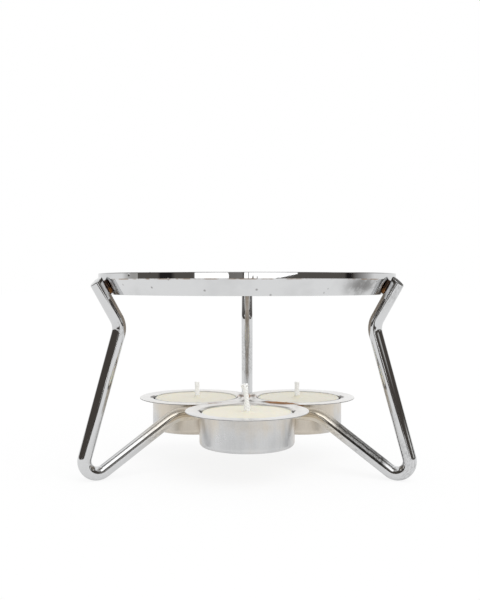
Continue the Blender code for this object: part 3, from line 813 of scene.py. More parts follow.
def chrome_rod_material(context):
    """Polished plate on drawn rod: fine lines along it, patches of pitting, and a brown film on the side that
    faces the flames, partly smoke and partly a painted reflection of the ring's underside; a painted dark
    reflection on the right inner rod, and sawn ends painted dark."""
    finishes = context.scene.stand_finishes
    rods = context.scene.stand_rods
    made, tree, shader, place = new_material("chrome_rod", finishes.chrome)
    space = attribute(tree, ROD_SPACE)
    across, along = split(tree, space)[1:3]
    aside, deep, level = split(tree, place)
    upper = joint_distance(tree, place, joints("ring_braze_"))
    lower = joint_distance(tree, place, joints("cup_braze_"))

    # The film lies between foot and ring on the side that faces the flames. It is widest above the
    # front legs' kinks. Its brown is partly smoke film and partly a painted reflection of the ring's dark
    # underside, which that side faces.
    inner = math_node(tree, "DIVIDE", across, -rods.diameter / 2)
    cloud = noise(tree, place, 150.0, 3.0, 0.6)
    behind = ranged(tree, deep, 0.002, 0.006)
    above_kink = ranged(tree, level, rods.kink_height - 0.007, rods.kink_height - 0.001)
    wide = layered(tree, 0.34, (behind, 0.52))
    start = layered(tree, 0.91, (above_kink, less(tree, wide, 0.91)))
    drift = layered(tree, -0.05, (cloud, 0.10))
    film = ranged(tree, less(tree, total(tree, inner, drift), start), 0.0, 0.14)
    lowest = layered(tree, 0.034, (behind, -0.004))
    high = ranged(tree, less(tree, level, lowest), 0.0, 0.006)
    high = product(tree, high, ranged(tree, level, RING_LOW.z + 0.002, RING_LOW.z - 0.001))
    near = ranged(tree, lower, 0.044, 0.015)
    # On the inner rods' upper side near the cups, a brown edge coloured as film: a painted reflection of the
    # ring's brown underside
    painted_edge_reflection = product(tree, near, ranged(tree, inner, 0.45, 0.70, 0.0, 0.45))
    film = math_node(tree, "MAXIMUM", product(tree, film, high), painted_edge_reflection)
    warm = product(tree, near, ranged(tree, cloud, 0.3, 0.6, 0.6, 1.0))
    clean = blended(tree, warm, colour(finishes.chrome), (0.80, 0.72, 0.585, 1.0))
    clean = stained(tree, clean, film, 0.92, finishes.film)
    tinted = placed(tree, "Heat Tint", clean_colour=clean, distance=upper, reach=0.0034, place=place)
    tinted = placed(tree, "Heat Tint", clean_colour=tinted, distance=lower, reach=0.006, place=place)

    # Speckles in patches, and on the right leg's inner rod, just past its foot, a dark speckled patch
    # that is a painted reflection of the dark room
    pitted = ranged(tree, noise(tree, place, 38.0, 2.0), 0.50, 0.60)
    side = product(
        tree,
        ranged(tree, aside, 0.0360, 0.0415),
        ranged(tree, level, 0.030, 0.024),
        ranged(tree, level, 0.0048, 0.0068),
        ranged(tree, along, 0.100, 0.104),
        ranged(tree, inner, 0.02, 0.16),
    )
    fine_space = stretched(tree, space, (1.0, 1.0, 0.45))
    speckle = ranged(tree, noise(tree, fine_space, 1700.0, 2.0, 0.7), 0.44, 0.60)
    patch = product(tree, side, layered(tree, 0.70, (speckle, 0.24)))
    speckle = product(tree, speckle, product(tree, pitted, 0.25))
    speckle = math_node(tree, "MAXIMUM", speckle, patch)
    tinted = blended(tree, speckle, tinted, (0.06, 0.057, 0.054, 1.0))

    # The sawn ends show the steel without its plating, and are painted dark: a painted reflection of the dark
    # room, darkest on the right leg
    facing = split(tree, add(tree, "ShaderNodeNewGeometry").outputs["True Normal"])[2]
    sawn = product(tree, ranged(tree, facing, 0.68, 0.74), ranged(tree, level, 0.081, 0.083))
    bare_and_painted_dark_end = product(tree, sawn, ranged(tree, aside, 0.0, 0.01, 0.12, 0.96))
    lines = placed(tree, "Drawn Lines", space=space, line_count=2600.0, along_scale=60.0)
    height = plating(tree, place, (0.012, 0.00003), (0.0014, 0.0000002))
    set_inputs(tree, shader, {
        "Base Color": blended(tree, bare_and_painted_dark_end, tinted, (0.05, 0.043, 0.038, 1.0)),
        "Metallic": layered(tree, 1.0, (film, -0.8)),
        "Roughness": layered(
            tree, 0.02, (lines, 0.09), (warm, 0.06), (film, 0.42), (bare_and_painted_dark_end, 0.45), (speckle, 0.15),
        ),
        "Normal": bumped(tree, layered(tree, height, (lines, 0.0000002), (speckle, -0.000002))),
    })
    return made


def with_painted_gap_shade(tree, place, base):
    """A colour with painted shade over it in the gaps between the cases' rims and the flanges, at the cups'
    outer ends.
    """
    narrowed = (1.0, 0.45, 1.0)
    narrow_place = stretched(tree, place, narrowed)
    nearest = 1.0
    for side, way, thinner in GAP_SHADE_SPOTS:
        low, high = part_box("tealight_case_" + side)
        spot = (low + high) / 2 + Vector((way * ((high.x - low.x) / 2 - 0.0003), 0.0, (high.z - low.z) / 2))
        spot = Vector((spot.x, (spot.y - 0.001) * narrowed[1], spot.z))
        nearest = math_node(tree, "MINIMUM", nearest, total(tree, apart(tree, narrow_place, spot), thinner))
    ragged = noise(tree, place, 800.0, 3.0, 0.6)
    gap_shade = ranged(tree, layered(tree, nearest, (ragged, 0.0012)), 0.0033, 0.0024, 0.0, 0.95)
    return blended(tree, gap_shade, base, (0.040, 0.028, 0.020, 1.0))


def satin_steel_material(context):
    """Pressed sheet: a cloudy satin, broad soft streaks down the wall, warmer towards the brazed
    middle of the stand and browned beside the joints."""
    finishes = context.scene.stand_finishes
    made, tree, shader, place = new_material("satin_steel", finishes.steel)
    space = attribute(tree, TURN_SPACE)
    rear, left, right = joints("cup_braze_")
    left_drop = Vector((0.0, 0.0, 0.004))
    distance = joint_distance(tree, place, (rear, left - left_drop, right))
    level = split(tree, place)[2]
    streaks = placed(tree, "Drawn Lines", space=space, line_count=2.3, along_scale=14.0)
    fine = placed(tree, "Drawn Lines", space=space, line_count=34.0, along_scale=160.0)
    cloud = noise(tree, place, 110.0, 4.0, 0.6)
    grain = noise(tree, place, 1500.0, 2.0, 0.6)
    heat = ranged(tree, axis_distance(tree, place), 0.047, 0.030)
    warm = total(tree, layered(tree, -0.45, (cloud, 0.9)), layered(tree, -0.65, (streaks, 1.3)), heat)
    # Towards the flange the wall is warmer, partly as scorch, and lighter: a painted highlight
    scorch_and_painted_light = ranged(tree, level, CUP_LOW.z + 0.003, CUP_HIGH.z - 0.003)
    warm = layered(tree, warm, (scorch_and_painted_light, 0.48))
    # The flange is painted lighter and less warm: a painted reflection of the bright room above, which it
    # faces
    flange = ranged(tree, level, CUP_HIGH.z - 0.0013, CUP_HIGH.z - 0.0007)
    warm = product(tree, ranged(tree, warm, 0.0, 1.0), ranged(tree, flange, 0.0, 1.0, 1.0, 0.3))
    clean = toned(
        tree,
        blended(tree, warm, colour(finishes.steel), colour(finishes.warm_steel)),
        ranged(tree, streaks, 0.30, 0.68, 0.93, 1.05),
        ranged(tree, fine, 0.3, 0.7, 0.99, 1.01),
        ranged(tree, scorch_and_painted_light, 0.0, 1.0, 1.03, 1.11),
        ranged(tree, flange, 0.0, 1.0, 1.0, 1.10),
        ranged(tree, grain, 0.3, 0.7, 0.975, 1.025),
    )
    tinted = placed(tree, "Heat Tint", clean_colour=clean, distance=distance, reach=0.0060, place=place)
    height = plating(tree, place, (0.011, 0.00012), (0.0008, 0.000002))
    set_inputs(tree, shader, {
        "Base Color": with_painted_gap_shade(tree, place, tinted),
        "Metallic": 1.0,
        "Roughness": layered(tree, 0.20, (cloud, 0.16), (fine, 0.05)),
        "Normal": bumped(tree, layered(tree, height, (fine, 0.000002))),
    })
    return made


def aluminium_material(context):
    """Thin drawn foil: fine lines round the case and shallow dents."""
    tint = context.scene.stand_finishes.aluminium
    made, tree, shader, place = new_material("thin_aluminium", tint)
    lines = placed(tree, "Drawn Lines", space=attribute(tree, TURN_SPACE), line_count=1.5, along_scale=5200.0)
    cloud = ranged(tree, noise(tree, place, 120.0, 3.0), 0.3, 0.7)
    height = plating(tree, place, (0.006, 0.00012), (0.0010, 0.000002))
    set_inputs(tree, shader, {
        "Base Color": with_painted_gap_shade(tree, place, blended(tree, cloud, colour(tint, 0.86), colour(tint))),
        "Metallic": 1.0,
        "Roughness": layered(tree, 0.32, (lines, 0.12)),
        "Normal": bumped(tree, layered(tree, height, (lines, 0.000002))),
    })
    return made


def wax_material(context):
    """Ivory wax: cloudy, softly lit from inside, with faint swirls on its face."""
    tint = context.scene.stand_finishes.wax
    made, tree, shader, place = new_material("ivory_wax", tint)
    cloud = noise(tree, place, 130.0, 4.0, 0.55)
    specks = ranged(tree, noise(tree, place, 900.0, 2.0), 0.62, 0.75)
    base = blended(tree, ranged(tree, cloud, 0.32, 0.7), colour(tint, 0.95), colour(tint))
    base = stained(tree, base, specks, 0.25, (0.93, 0.90, 0.82))
    # The two rear candles' wax is darker: painted shade, as they stand farther back and get less light
    painted_rear_shade = ranged(tree, split(tree, place)[1], -0.014, -0.010, 1.0, 0.86)
    set_inputs(tree, shader, {
        "Base Color": toned(tree, base, painted_rear_shade),
        "Roughness": ranged(tree, cloud, 0.3, 0.7, 0.38, 0.56),
        "Subsurface Weight": 0.35,
        "Subsurface Radius": (1.0, 0.75, 0.45),
        "Subsurface Scale": 0.0022,
        "IOR": 1.44,
        "Normal": bumped(tree, plating(tree, place, (0.005, 0.00008), (0.0009, 0.000006))),
    })
    return made


def cotton_material(context):
    """Bleached cotton stiffened with wax: short fibres, faintly greyer in places."""
    tint = context.scene.stand_finishes.wick
    made, tree, shader, place = new_material("white_cotton", tint)
    stretch = add(tree, "ShaderNodeMapping", {"Vector": place, "Scale": (1.0, 1.0, 0.3)}).outputs[0]
    fibres = noise(tree, stretch, 5200.0, 3.0, 0.7)
    set_inputs(tree, shader, {
        "Base Color": blended(tree, ranged(tree, fibres, 0.3, 0.7), colour(tint, 0.93), colour(tint)),
        "Roughness": 0.7,
        "Sheen Weight": 0.2,
        "Subsurface Weight": 0.05,
        "Subsurface Radius": (1.0, 0.97, 0.93),
        "Subsurface Scale": 0.0004,
        "Normal": bumped(tree, fibres, 0.00003),
    })
    return made


def braze_material(context):
    """Filler metal as it sets: orange where it is clean, dark brown where it has scaled."""
    finishes = context.scene.stand_finishes
    made, tree, shader, place = new_material("heat_browned_braze", finishes.braze)
    fresh = add(tree, "ShaderNodeAttribute", attribute_name=FRESH).outputs["Fac"]
    fresh = product(tree, fresh, ranged(tree, axis_distance(tree, place), 0.0085, 0.0120))
    patches = layered(tree, noise(tree, place, 700.0, 4.0, 0.65), (fresh, 0.45))
    patches = ranged(tree, patches, 0.52, 0.84)
    straw = product(tree, fresh, ranged(tree, noise(tree, place, 330.0, 2.0), 0.5, 0.72))
    base = blended(tree, patches, colour(finishes.burnt), colour(finishes.braze))
    set_inputs(tree, shader, {
        "Base Color": stained(tree, base, straw, 0.35, (0.44, 0.26, 0.09)),
        "Metallic": ranged(tree, patches, 0.0, 1.0, 0.25, 0.60),
        "Roughness": ranged(tree, patches, 0.0, 1.0, 0.62, 0.34),
        "Normal": bumped(tree, noise(tree, place, 1900.0, 3.0, 0.6), 0.00006),
    })
    return made


def tab_material(context):
    """Thin bright sheet with a rolled grain, for the tabs under the wax."""
    tint = context.scene.stand_finishes.steel
    made, tree, shader, place = new_material("tab_sheet", tint)
    stretch = add(tree, "ShaderNodeMapping", {"Vector": place, "Scale": (0.05, 1.0, 1.0)}).outputs[0]
    grain = noise(tree, stretch, 2600.0, 3.0, 0.6)
    set_inputs(tree, shader, {
        "Base Color": blended(tree, grain, colour(tint, 0.85), colour(tint)),
        "Metallic": 1.0,
        "Roughness": ranged(tree, grain, 0.3, 0.7, 0.25, 0.42),
    })
    return made


def leg_angles(rods):
    """Each leg's angle from the front, positive to the right."""
    return {"rear": math.pi, "left": -rods.front_leg_angle, "right": rods.front_leg_angle}


def turned_place(angle):
    """The stand's axis, turned so that +X looks along an angle from the front."""
    return Matrix.Translation(AXIS) @ Matrix.Rotation(angle - math.pi / 2, 4, "Z")


def centre_of(node):
    """The upright axis of a round solid."""
    low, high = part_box(node)
    return Vector(((low.x + high.x) / 2, (low.y + high.y) / 2, 0.0))


def crease_height(ring):
    """Height of the crease between the ring's collar and its band."""
    return RING_HIGH.z - ring.collar_height


def band_line(ring, height):
    """Radius of the band's outer face at a height."""
    return RING_RADIUS + (height - crease_height(ring)) * math.tan(ring.lean)


def rod_line(ring, rods, height):
    """Radius of an upper rod's centreline at a height, with the braze's film between it and the band."""
    return band_line(ring, height) + (rods.diameter / 2 + rods.film) / math.cos(ring.lean)


def ring_section(ring):
    """The ring's section as (radius, height), closed, and the bend at each corner."""
    top = RING_HIGH.z
    crease = crease_height(ring)
    inner_drop = ring.sheet * (1 / math.cos(ring.lean) - 1) / math.tan(ring.lean)
    bottom = band_line(ring, RING_LOW.z)
    corners = [
        (RING_RADIUS, top),
        (RING_RADIUS, crease),
        (bottom, RING_LOW.z),
        (bottom - ring.sheet / math.cos(ring.lean), RING_LOW.z),
        (RING_RADIUS - ring.sheet, crease + inner_drop),
        (RING_RADIUS - ring.sheet, top),
    ]
    edge, bend = ring.edge_round, ring.crease_round
    return corners, [edge, bend, edge, edge, bend, edge]


def leg_end_height(ring, rods):
    """Height of the centre of a leg's sawn end."""
    lowered = rods.diameter / 2 * math.sin(rods.end_cut) / math.cos(rods.end_cut - ring.lean)
    return crease_height(ring) - lowered


def leg_outline(ring, rods, overrun):
    """A leg's centreline as (radius, height) from above the band to the hub, with its bends."""
    radius = rods.diameter / 2
    level = (HUB_LOW.z + HUB_HIGH.z) / 2
    start = leg_end_height(ring, rods) + overrun
    kink_radius = rod_line(ring, rods, rods.kink_height)
    half = (rods.lower_angle - rods.inner_angle) / 2
    middle = (rods.lower_angle + rods.inner_angle) / 2
    foot_height = radius + rods.foot_bend * (1 - math.sin(middle) / math.sin(half))
    foot_radius = kink_radius + (rods.kink_height - foot_height) / math.tan(rods.lower_angle)
    bend_radius = foot_radius - (level - foot_height) / math.tan(rods.inner_angle)
    corners = [
        (rod_line(ring, rods, start), start),
        (kink_radius, rods.kink_height),
        (foot_radius, foot_height),
        (bend_radius, level),
        ((HUB_HIGH.x - HUB_LOW.x) / 2, level),
    ]
    return corners, [0.0, rods.kink_bend, rods.foot_bend, rods.inner_bend, 0.0]


def saw(piece, centre, normal, edge_round):
    """Cuts a piece at a plane, closes it there and dulls the cut's edge."""
    shape = bmesh.new()
    shape.from_mesh(piece.data)
    everything = shape.verts[:] + shape.edges[:] + shape.faces[:]
    cut = bmesh.ops.bisect_plane(shape, geom=everything, plane_co=centre, plane_no=normal, clear_outer=True)
    rim = [item for item in cut["geom_cut"] if isinstance(item, bmesh.types.BMEdge)]
    bmesh.ops.contextual_create(shape, geom=rim)
    rim = [edge for edge in rim if edge.is_valid]
    if edge_round:
        bmesh.ops.bevel(shape, geom=rim, offset=edge_round, segments=4, profile=0.5, affect="EDGES")
    bmesh.ops.recalc_face_normals(shape, faces=shape.faces)
    for face in shape.faces:
        face.smooth = True
    shape.to_mesh(piece.data)
    shape.free()


def dish_corners(wall, edge, floor, top, sheet, rim):
    """A pressed dish's section, from the middle of its floor inside to the middle outside."""
    return [
        (0.0, floor + sheet),
        (wall - sheet, floor + sheet),
        (wall - sheet, top),
        (edge, top),
        (edge, top - rim),
        (wall, top - rim),
        (wall, floor),
        (0.0, floor),
    ]


def cup_section(cups):
    """A cup's section as (radius, height), and the bend at each corner."""
    edge = (CUP_HIGH.x - CUP_LOW.x) / 2
    corners = dish_corners(edge - cups.flange_width, edge, CUP_LOW.z, CUP_HIGH.z, cups.sheet, cups.sheet)
    inside = cups.corner - cups.sheet
    under = cups.flange_bend - cups.sheet
    return corners, [0.0, inside, cups.flange_bend, cups.edge_round, cups.edge_round, under, cups.corner, 0.0]


def case_section(sizes, drop):
    """A tealight case's section as (radius, height), and the bend at each corner."""
    edge = (CASE_HIGH.x - CASE_LOW.x) / 2
    corners = dish_corners(
        edge - sizes.rim_width, edge, CASE_LOW.z, CASE_HIGH.z - drop, sizes.wall, sizes.rim_height,
    )
    inside = sizes.case_corner - sizes.wall
    rolled = sizes.rim_width / 2
    return corners, [0.0, inside, sizes.wall / 3, rolled, rolled, 0.0, sizes.case_corner, 0.0]


class STAND_OT_ring(bpy.types.Operator):
    """Makes the top ring"""

    bl_idname = "stand.ring"
    bl_label = "Make top ring"

    def execute(self, context):
        ring = context.scene.stand_ring
        inputs = {"Steps": ring.steps, "Arc Steps": 6, "Finish": chrome_ring_material(context)}
        piece = turned("polished_ring", ring_section(ring), ring.edge_round / 2, AXIS, inputs, closed=True)
        fitted(piece, "stand", "chrome", "top_ring")
        return {"FINISHED"}


class STAND_OT_legs(bpy.types.Operator):
    """Bends the three legs and saws their top ends"""

    bl_idname = "stand.legs"
    bl_label = "Make legs"

    def execute(self, context):
        ring, rods = context.scene.stand_ring, context.scene.stand_rods
        corners, radii = leg_outline(ring, rods, rods.diameter)
        points = [(x, 0.0, z) for x, z in corners]
        end = leg_end_height(ring, rods)
        inputs = {
            "Rod Radius": rods.diameter / 2,
            "Sides": rods.sides,
            "Arc Steps": rods.bend_steps,
            "Finish": chrome_rod_material(context),
        }
        for leg, angle in leg_angles(rods).items():
            turn = turned_place(angle)
            source = outline_mesh("leg_line_" + leg, points, radii)
            piece = grown("bent_leg_" + leg, source, "Bent Rod", inputs, turn)
            centre = turn @ Vector((rod_line(ring, rods, end), 0.0, end))
            normal = turn.to_3x3() @ Vector((math.sin(rods.end_cut), 0.0, math.cos(rods.end_cut)))
            saw(piece, centre + normal * rods.end_crown, normal, rods.end_round)
            fitted(piece, "stand", "chrome", "leg_" + leg)
        return {"FINISHED"}


class STAND_OT_cups(bpy.types.Operator):
    """Presses the three candle cups"""

    bl_idname = "stand.cups"
    bl_label = "Make candle cups"

    def execute(self, context):
        cups = context.scene.stand_cups
        inputs = {"Steps": cups.steps, "Arc Steps": 8, "Finish": satin_steel_material(context)}
        for side in SIDES:
            centre = centre_of("tealight_case_" + side)
            piece = turned("pressed_cup_" + side, cup_section(cups), cups.edge_round, centre, inputs)
            for neighbour in SIDES:
                if neighbour != side:
                    towards = (centre_of("tealight_case_" + neighbour) - centre).normalized()
                    saw(piece, AXIS - towards * SEAM_GAP / 2, towards, 0.0)
            fitted(piece, "stand", "satin_steel", "cup_" + side)
        return {"FINISHED"}


def wax_height(sizes, radius, from_wick, wick_radius):
    """Height of the wax's face against its level: dished, drawn up at the case and up the wick."""
    share = radius / ((WAX_HIGH.x - WAX_LOW.x) / 2)
    dish = -sizes.wax_dish * (1 - share ** 6)
    climb = sizes.wax_foot * math.exp(-max(from_wick - wick_radius, 0.0) / wick_radius * 1.3)
    return dish + climb


def wax_mesh(name, sizes, side, drop, rings=48, spokes=144):
    """The wax of one tealight: a face drawn round its wick, a side and a floor, closed."""
    axis = centre_of("wax_" + side)
    wick = centre_of("wick_tab_" + side)
    wick_radius = sizes.strand_radius + braid_radius(sizes)
    outer = (CASE_HIGH.x - CASE_LOW.x) / 2 - sizes.rim_width - sizes.wall - sizes.wax_gap
    edge = outer - sizes.case_corner / 4
    level = WAX_HIGH.z - drop
    angles = [FULL_TURN * spoke / spokes for spoke in range(spokes)]
    turns = [(math.cos(angle), math.sin(angle)) for angle in angles]
    shape = bmesh.new()
    loops = []
    for ring in range(1, rings + 1):
        share = (ring / rings) ** 1.5
        loop = []
        for across, deep in turns:
            point = wick.lerp(axis + Vector((edge * across, edge * deep, 0.0)), share)
            height = wax_height(sizes, (point - axis).length, (point - wick).length, wick_radius)
            loop.append(shape.verts.new((point.x, point.y, level + height)))
        loops.append(loop)
    sides = (
        (outer, level - sizes.case_corner / 4),
        (outer, WAX_LOW.z + sizes.case_corner),
        (outer - sizes.case_corner, WAX_LOW.z),
    )
    for radius, height in sides:
        places = [(axis.x + radius * across, axis.y + radius * deep, height) for across, deep in turns]
        loops.append([shape.verts.new(place) for place in places])
    for inner, after in zip(loops, loops[1:]):
        for spoke in range(spokes):
            following = (spoke + 1) % spokes
            shape.faces.new((inner[spoke], after[spoke], after[following], inner[following]))
    shape.faces.new(loops[0])
    shape.faces.new(list(reversed(loops[-1])))
    bmesh.ops.recalc_face_normals(shape, faces=shape.faces)
    mesh = bpy.data.meshes.new(name)
    shape.to_mesh(mesh)
    shape.free()
    mesh.shade_smooth()
    mesh.set_sharp_from_angle(angle=math.radians(60.0))
    return mesh


def braid_radius(sizes):
    """Radius of the circle that a wick's strands run on, so that the wick keeps its solid's width."""
    low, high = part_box("wick_left")
    return (high.y - low.y) / 2 - sizes.strand_radius


def wick_line(side):
    """A wick's line from its foot to its tip, leaning as its solid does."""
    low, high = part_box("wick_" + side)
    radius = (high.y - low.y) / 2
    foot = centre_of("wick_tab_" + side)
    lean = (high.x - low.x) - 2 * radius
    bend = WAX_HIGH.z + 2 * radius
    tip = high.z
    points = [Vector((foot.x, foot.y, low.z)), Vector((foot.x, foot.y, bend))]
    for share in (0.25, 0.5, 0.75, 1.0):
        points.append(Vector((foot.x - lean * share ** 1.5, foot.y, bend + (tip - bend) * share)))
    return points


class STAND_OT_tealights(bpy.types.Operator):
    """Makes the tealights: cases, wax and braided wicks"""

    bl_idname = "stand.tealights"
    bl_label = "Make tealights"

    def execute(self, context):
        sizes = context.scene.stand_tealights
        wax = wax_material(context)
        case_inputs = {"Steps": sizes.steps, "Arc Steps": 6, "Finish": aluminium_material(context)}
        wick_inputs = {
            "Strands": sizes.strands,
            "Strand Radius": sizes.strand_radius,
            "Braid Radius": braid_radius(sizes),
            "Pitch": sizes.braid_pitch,
            "Finish": cotton_material(context),
        }
        for number, side in enumerate(SIDES):
            body = "tealight_" + side
            drop = sizes.rim_drop if side == "front" else 0.0
            centre = centre_of("tealight_case_" + side)
            section = case_section(sizes, drop)
            piece = turned("foil_case_" + side, section, sizes.wall / 6, centre, case_inputs)
            fitted(piece, body, "thin_aluminium", "tealight_case_" + side)

            mesh = wax_mesh("candle_wax_" + side, sizes, side, drop)
            mesh.materials.append(wax)
            fitted(linked("candle_wax_" + side, mesh), body, "wax", "wax_" + side)

            # The front wick is more frayed, and wider at its foot
            line = wick_line(side)
            source = outline_mesh("wick_line_" + side, line, [0.0] * len(line))
            inputs = {
                **wick_inputs,
                "Fray": 0.0009 if side == "front" else 0.0002,
                "Wax Level": WAX_HIGH.z - drop - line[0].z,
                "Flare": sizes.wick_flare * (0.85 if side == "front" else 0.2),
                "Seed": 7.0 * number,
            }
            piece = grown("braided_wick_" + side, source, "Braided Wick", inputs)
            fitted(piece, body, "wick", "wick_" + side)
        return {"FINISHED"}


def bead(name, size, place, node, inputs):
    """A lumpy bead of filler metal: a ball stretched to a size, put in place and grown."""
    shape = bmesh.new()
    bmesh.ops.create_icosphere(shape, subdivisions=5, radius=1.0)
    stretch = Matrix.Diagonal((size[0] / 2, size[1] / 2, size[2] / 2, 1.0))
    bmesh.ops.transform(shape, matrix=place @ stretch, verts=shape.verts)
    source = bpy.data.meshes.new(name)
    shape.to_mesh(source)
    shape.free()
    fitted(grown(name, source, "Lumpy Bead", inputs), "stand", "braze", node)


class STAND_OT_braze(bpy.types.Operator):
    """Runs the beads of filler metal at the band, under the flanges and at the hub"""

    bl_idname = "stand.braze"
    bl_label = "Make braze"

    def execute(self, context):
        ring, rods, cups = context.scene.stand_ring, context.scene.stand_rods, context.scene.stand_cups
        finish = braze_material(context)
        middle = (crease_height(ring) + RING_LOW.z) / 2
        contact = band_line(ring, middle) + rods.film / 2 / math.cos(ring.lean)
        tilt = Matrix.Rotation(ring.lean, 4, "Y") @ Matrix.Rotation(-math.pi / 2, 4, "Y")
        hub_width = HUB_HIGH.x - HUB_LOW.x
        outward = hub_width / 2 + FLANGE_BEAD_START + FLANGE_BEAD[0] / 2
        for number, (leg, angle) in enumerate(leg_angles(rods).items()):
            turn = turned_place(angle)
            inputs = {
                "Lump Size": 0.0014,
                "Lump Height": 0.0006,
                "Fresh Below": RING_LOW.z + 0.0002,
                "Burnt Above": RING_LOW.z + 0.0044,
                "Seed": 3.0 * number,
                "Finish": finish,
            }
            place = turn @ Matrix.Translation((contact, 0.0, middle)) @ tilt
            bead("ring_bead_" + leg, RING_BEAD, place, "ring_braze_" + leg, inputs)

            height = CUP_HIGH.z - cups.sheet - rods.film / 2 + FLANGE_BEAD_SHIFTS[leg]
            inputs = {
                "Lump Size": 0.0017,
                "Lump Height": 0.0007,
                "Fresh Below": CUP_HIGH.z - 0.0002,
                "Burnt Above": CUP_HIGH.z + 0.0025,
                "Seed": 5.0 + 3.0 * number,
                "Finish": finish,
            }
            place = turn @ Matrix.Translation((outward, 0.0, height))
            bead("flange_bead_" + leg, FLANGE_BEAD, place, "cup_braze_" + leg, inputs)

        size = [HUB_BEAD_SHARE * part for part in (hub_width, hub_width, HUB_HIGH.z - HUB_LOW.z)]
        inputs = {
            "Lump Size": 0.0022,
            "Lump Height": 0.0010,
            "Fresh Below": 0.0,
            "Burnt Above": HUB_LOW.z,
            "Seed": 21.0,
            "Finish": finish,
        }
        bead("hub_bead", size, Matrix.Translation((HUB_LOW + HUB_HIGH) / 2), "hub_braze", inputs)
        return {"FINISHED"}


class STAND_OT_tabs(bpy.types.Operator):
    """Gives the wick tabs under the wax their finish"""

    bl_idname = "stand.tabs"
    bl_label = "Finish wick tabs"

    def execute(self, context):
        finish = tab_material(context)
        for side in SIDES:
            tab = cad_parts["wick_tab_" + side]
            tab.data.materials.clear()
            tab.data.materials.append(finish)
        return {"FINISHED"}


# Cards that the metal mirrors: name, distance, azimuths, elevations, blurs of the left, right, bottom
# and top edge, slant of the left edge and colour. Angles are in degrees as seen from the stand's
# middle, azimuths from the front and positive to the right.
CARDS = (
    ("ceiling", 5.6, (-100.0, 100.0), (48.0, 118.0), (22.0, 22.0, 6.0, 26.0), 0.0, (0.17, 0.155, 0.14)),
    ("room", 5.4, (-150.0, 150.0), (-1.0, 48.0), (30.0, 30.0, 0.1, 10.0), 0.0, (0.072, 0.063, 0.056)),
    ("softbox", 5.2, (-37.0, 36.0), (28.0, 66.0), (5.0, 5.0, 7.0, 5.0), 0.0, (1.60, 1.60, 1.60)),
    ("screen", 5.2, (15.0, 45.0), (9.5, 16.5), (4.0, 4.0, 3.0, 1.5), 0.0, (0.50, 0.50, 0.49)),
    ("reflector", 5.2, (60.0, 87.0), (3.5, 8.5), (5.0, 5.0, 1.5, 1.5), 0.0, (0.74, 0.74, 0.72)),
    ("horizon", 5.1, (-87.5, 84.0), (-1.0, 1.7), (0.4, 3.0, 0.1, 0.5), 0.0, (0.105, 0.097, 0.088)),
    ("wall_left", 5.1, (-179.0, -87.0), (-1.0, 1.7), (0.1, 19.0, 0.1, 0.5), 0.0, (0.88, 0.88, 0.88)),
    ("haze_left", 5.05, (-104.0, -87.0), (-1.0, 1.7), (17.0, 0.4, 0.1, 0.5), 0.0, (0.46, 0.45, 0.43)),
    ("wall_right", 5.1, (83.0, 179.0), (-1.0, 1.7), (26.0, 0.1, 0.1, 0.5), 0.0, (0.88, 0.88, 0.88)),
    ("post_left", 5.0, (-68.0, -53.0), (-1.0, 1.7), (2.5, 3.5, 0.1, 0.5), 0.0, (0.020, 0.018, 0.018)),
    ("post_right", 5.0, (75.0, 84.5), (-1.0, 1.7), (3.0, 3.0, 0.1, 0.5), 0.0, (0.018, 0.016, 0.016)),
    ("window_left", 4.9, (-38.4, -12.6), (-0.05, 1.25), (1.2, 0.4, 0.1, 0.15), 0.0, (1.75, 1.75, 1.75)),
    ("window_right", 4.9, (-2.2, 44.0), (-0.05, 1.25), (0.4, 0.4, 0.1, 0.15), 0.0, (1.75, 1.75, 1.75)),
    ("flag_right", 4.8, (28.0, 50.0), (-0.8, 1.7), (0.8, 0.4, 0.1, 0.5), 53.0, (0.105, 0.097, 0.088)),
    ("table_end", 0.52, (-38.0, 18.0), (-9.2, -3.6), (5.0, 9.0, 0.1, 1.0), 0.0, (0.072, 0.063, 0.056)),
    ("lens", 0.25, (-9.6, -2.3), (-9.5, 9.5), (0.6, 0.6, 2.0, 2.0), -1.6, (0.22, 0.21, 0.20)),
    ("lens_ring", 0.25, (0.4, 1.2), (-0.5, 9.5), (0.3, 0.3, 0.3, 2.0), 0.0, (0.45, 0.44, 0.43)),
    ("handle", 0.25, (1.8, 4.2), (-1.6, 0.9), (0.5, 0.5, 0.4, 0.4), 1.0, (0.42, 0.40, 0.38)),
    ("knob", 0.25, (5.4, 6.4), (0.0, 0.8), (0.3, 0.3, 0.3, 0.3), 0.0, (0.40, 0.38, 0.36)),
)
CARD_CENTRE_HEIGHT = 0.086

# How far a slanted card's left edge leans to either side at most, and the widest step between points
CARD_LEAN = 8.0
CARD_STEP = 2.0


def card_mesh(name, distance, azimuths, elevations, slant):
    """A patch of a ball round the stand, with the angles of its points stored on them."""
    margin = CARD_LEAN if slant else 0.0
    left, right = azimuths[0] - margin, azimuths[1]
    bottom, top = elevations
    columns = max(2, math.ceil((right - left) / CARD_STEP))
    rows = max(2, math.ceil((top - bottom) / CARD_STEP))
    points = []
    angles = []
    for row in range(rows + 1):
        up = bottom + (top - bottom) * row / rows
        for column in range(columns + 1):
            side = left + (right - left) * column / columns
            flat = distance * math.cos(math.radians(up))
            height = CARD_CENTRE_HEIGHT + distance * math.sin(math.radians(up))
            points.append((flat * math.sin(math.radians(side)), -flat * math.cos(math.radians(side)), height))
            angles += (side, up, 0.0)
    faces = []
    wide = columns + 1
    for row in range(rows):
        for column in range(columns):
            corner = row * wide + column
            faces.append((corner, corner + 1, corner + wide + 1, corner + wide))
    mesh = bpy.data.meshes.new(name)
    mesh.from_pydata(points, [], faces)
    mesh.attributes.new(CARD_PLACE, "FLOAT_VECTOR", "POINT").data.foreach_set("vector", angles)
    return mesh


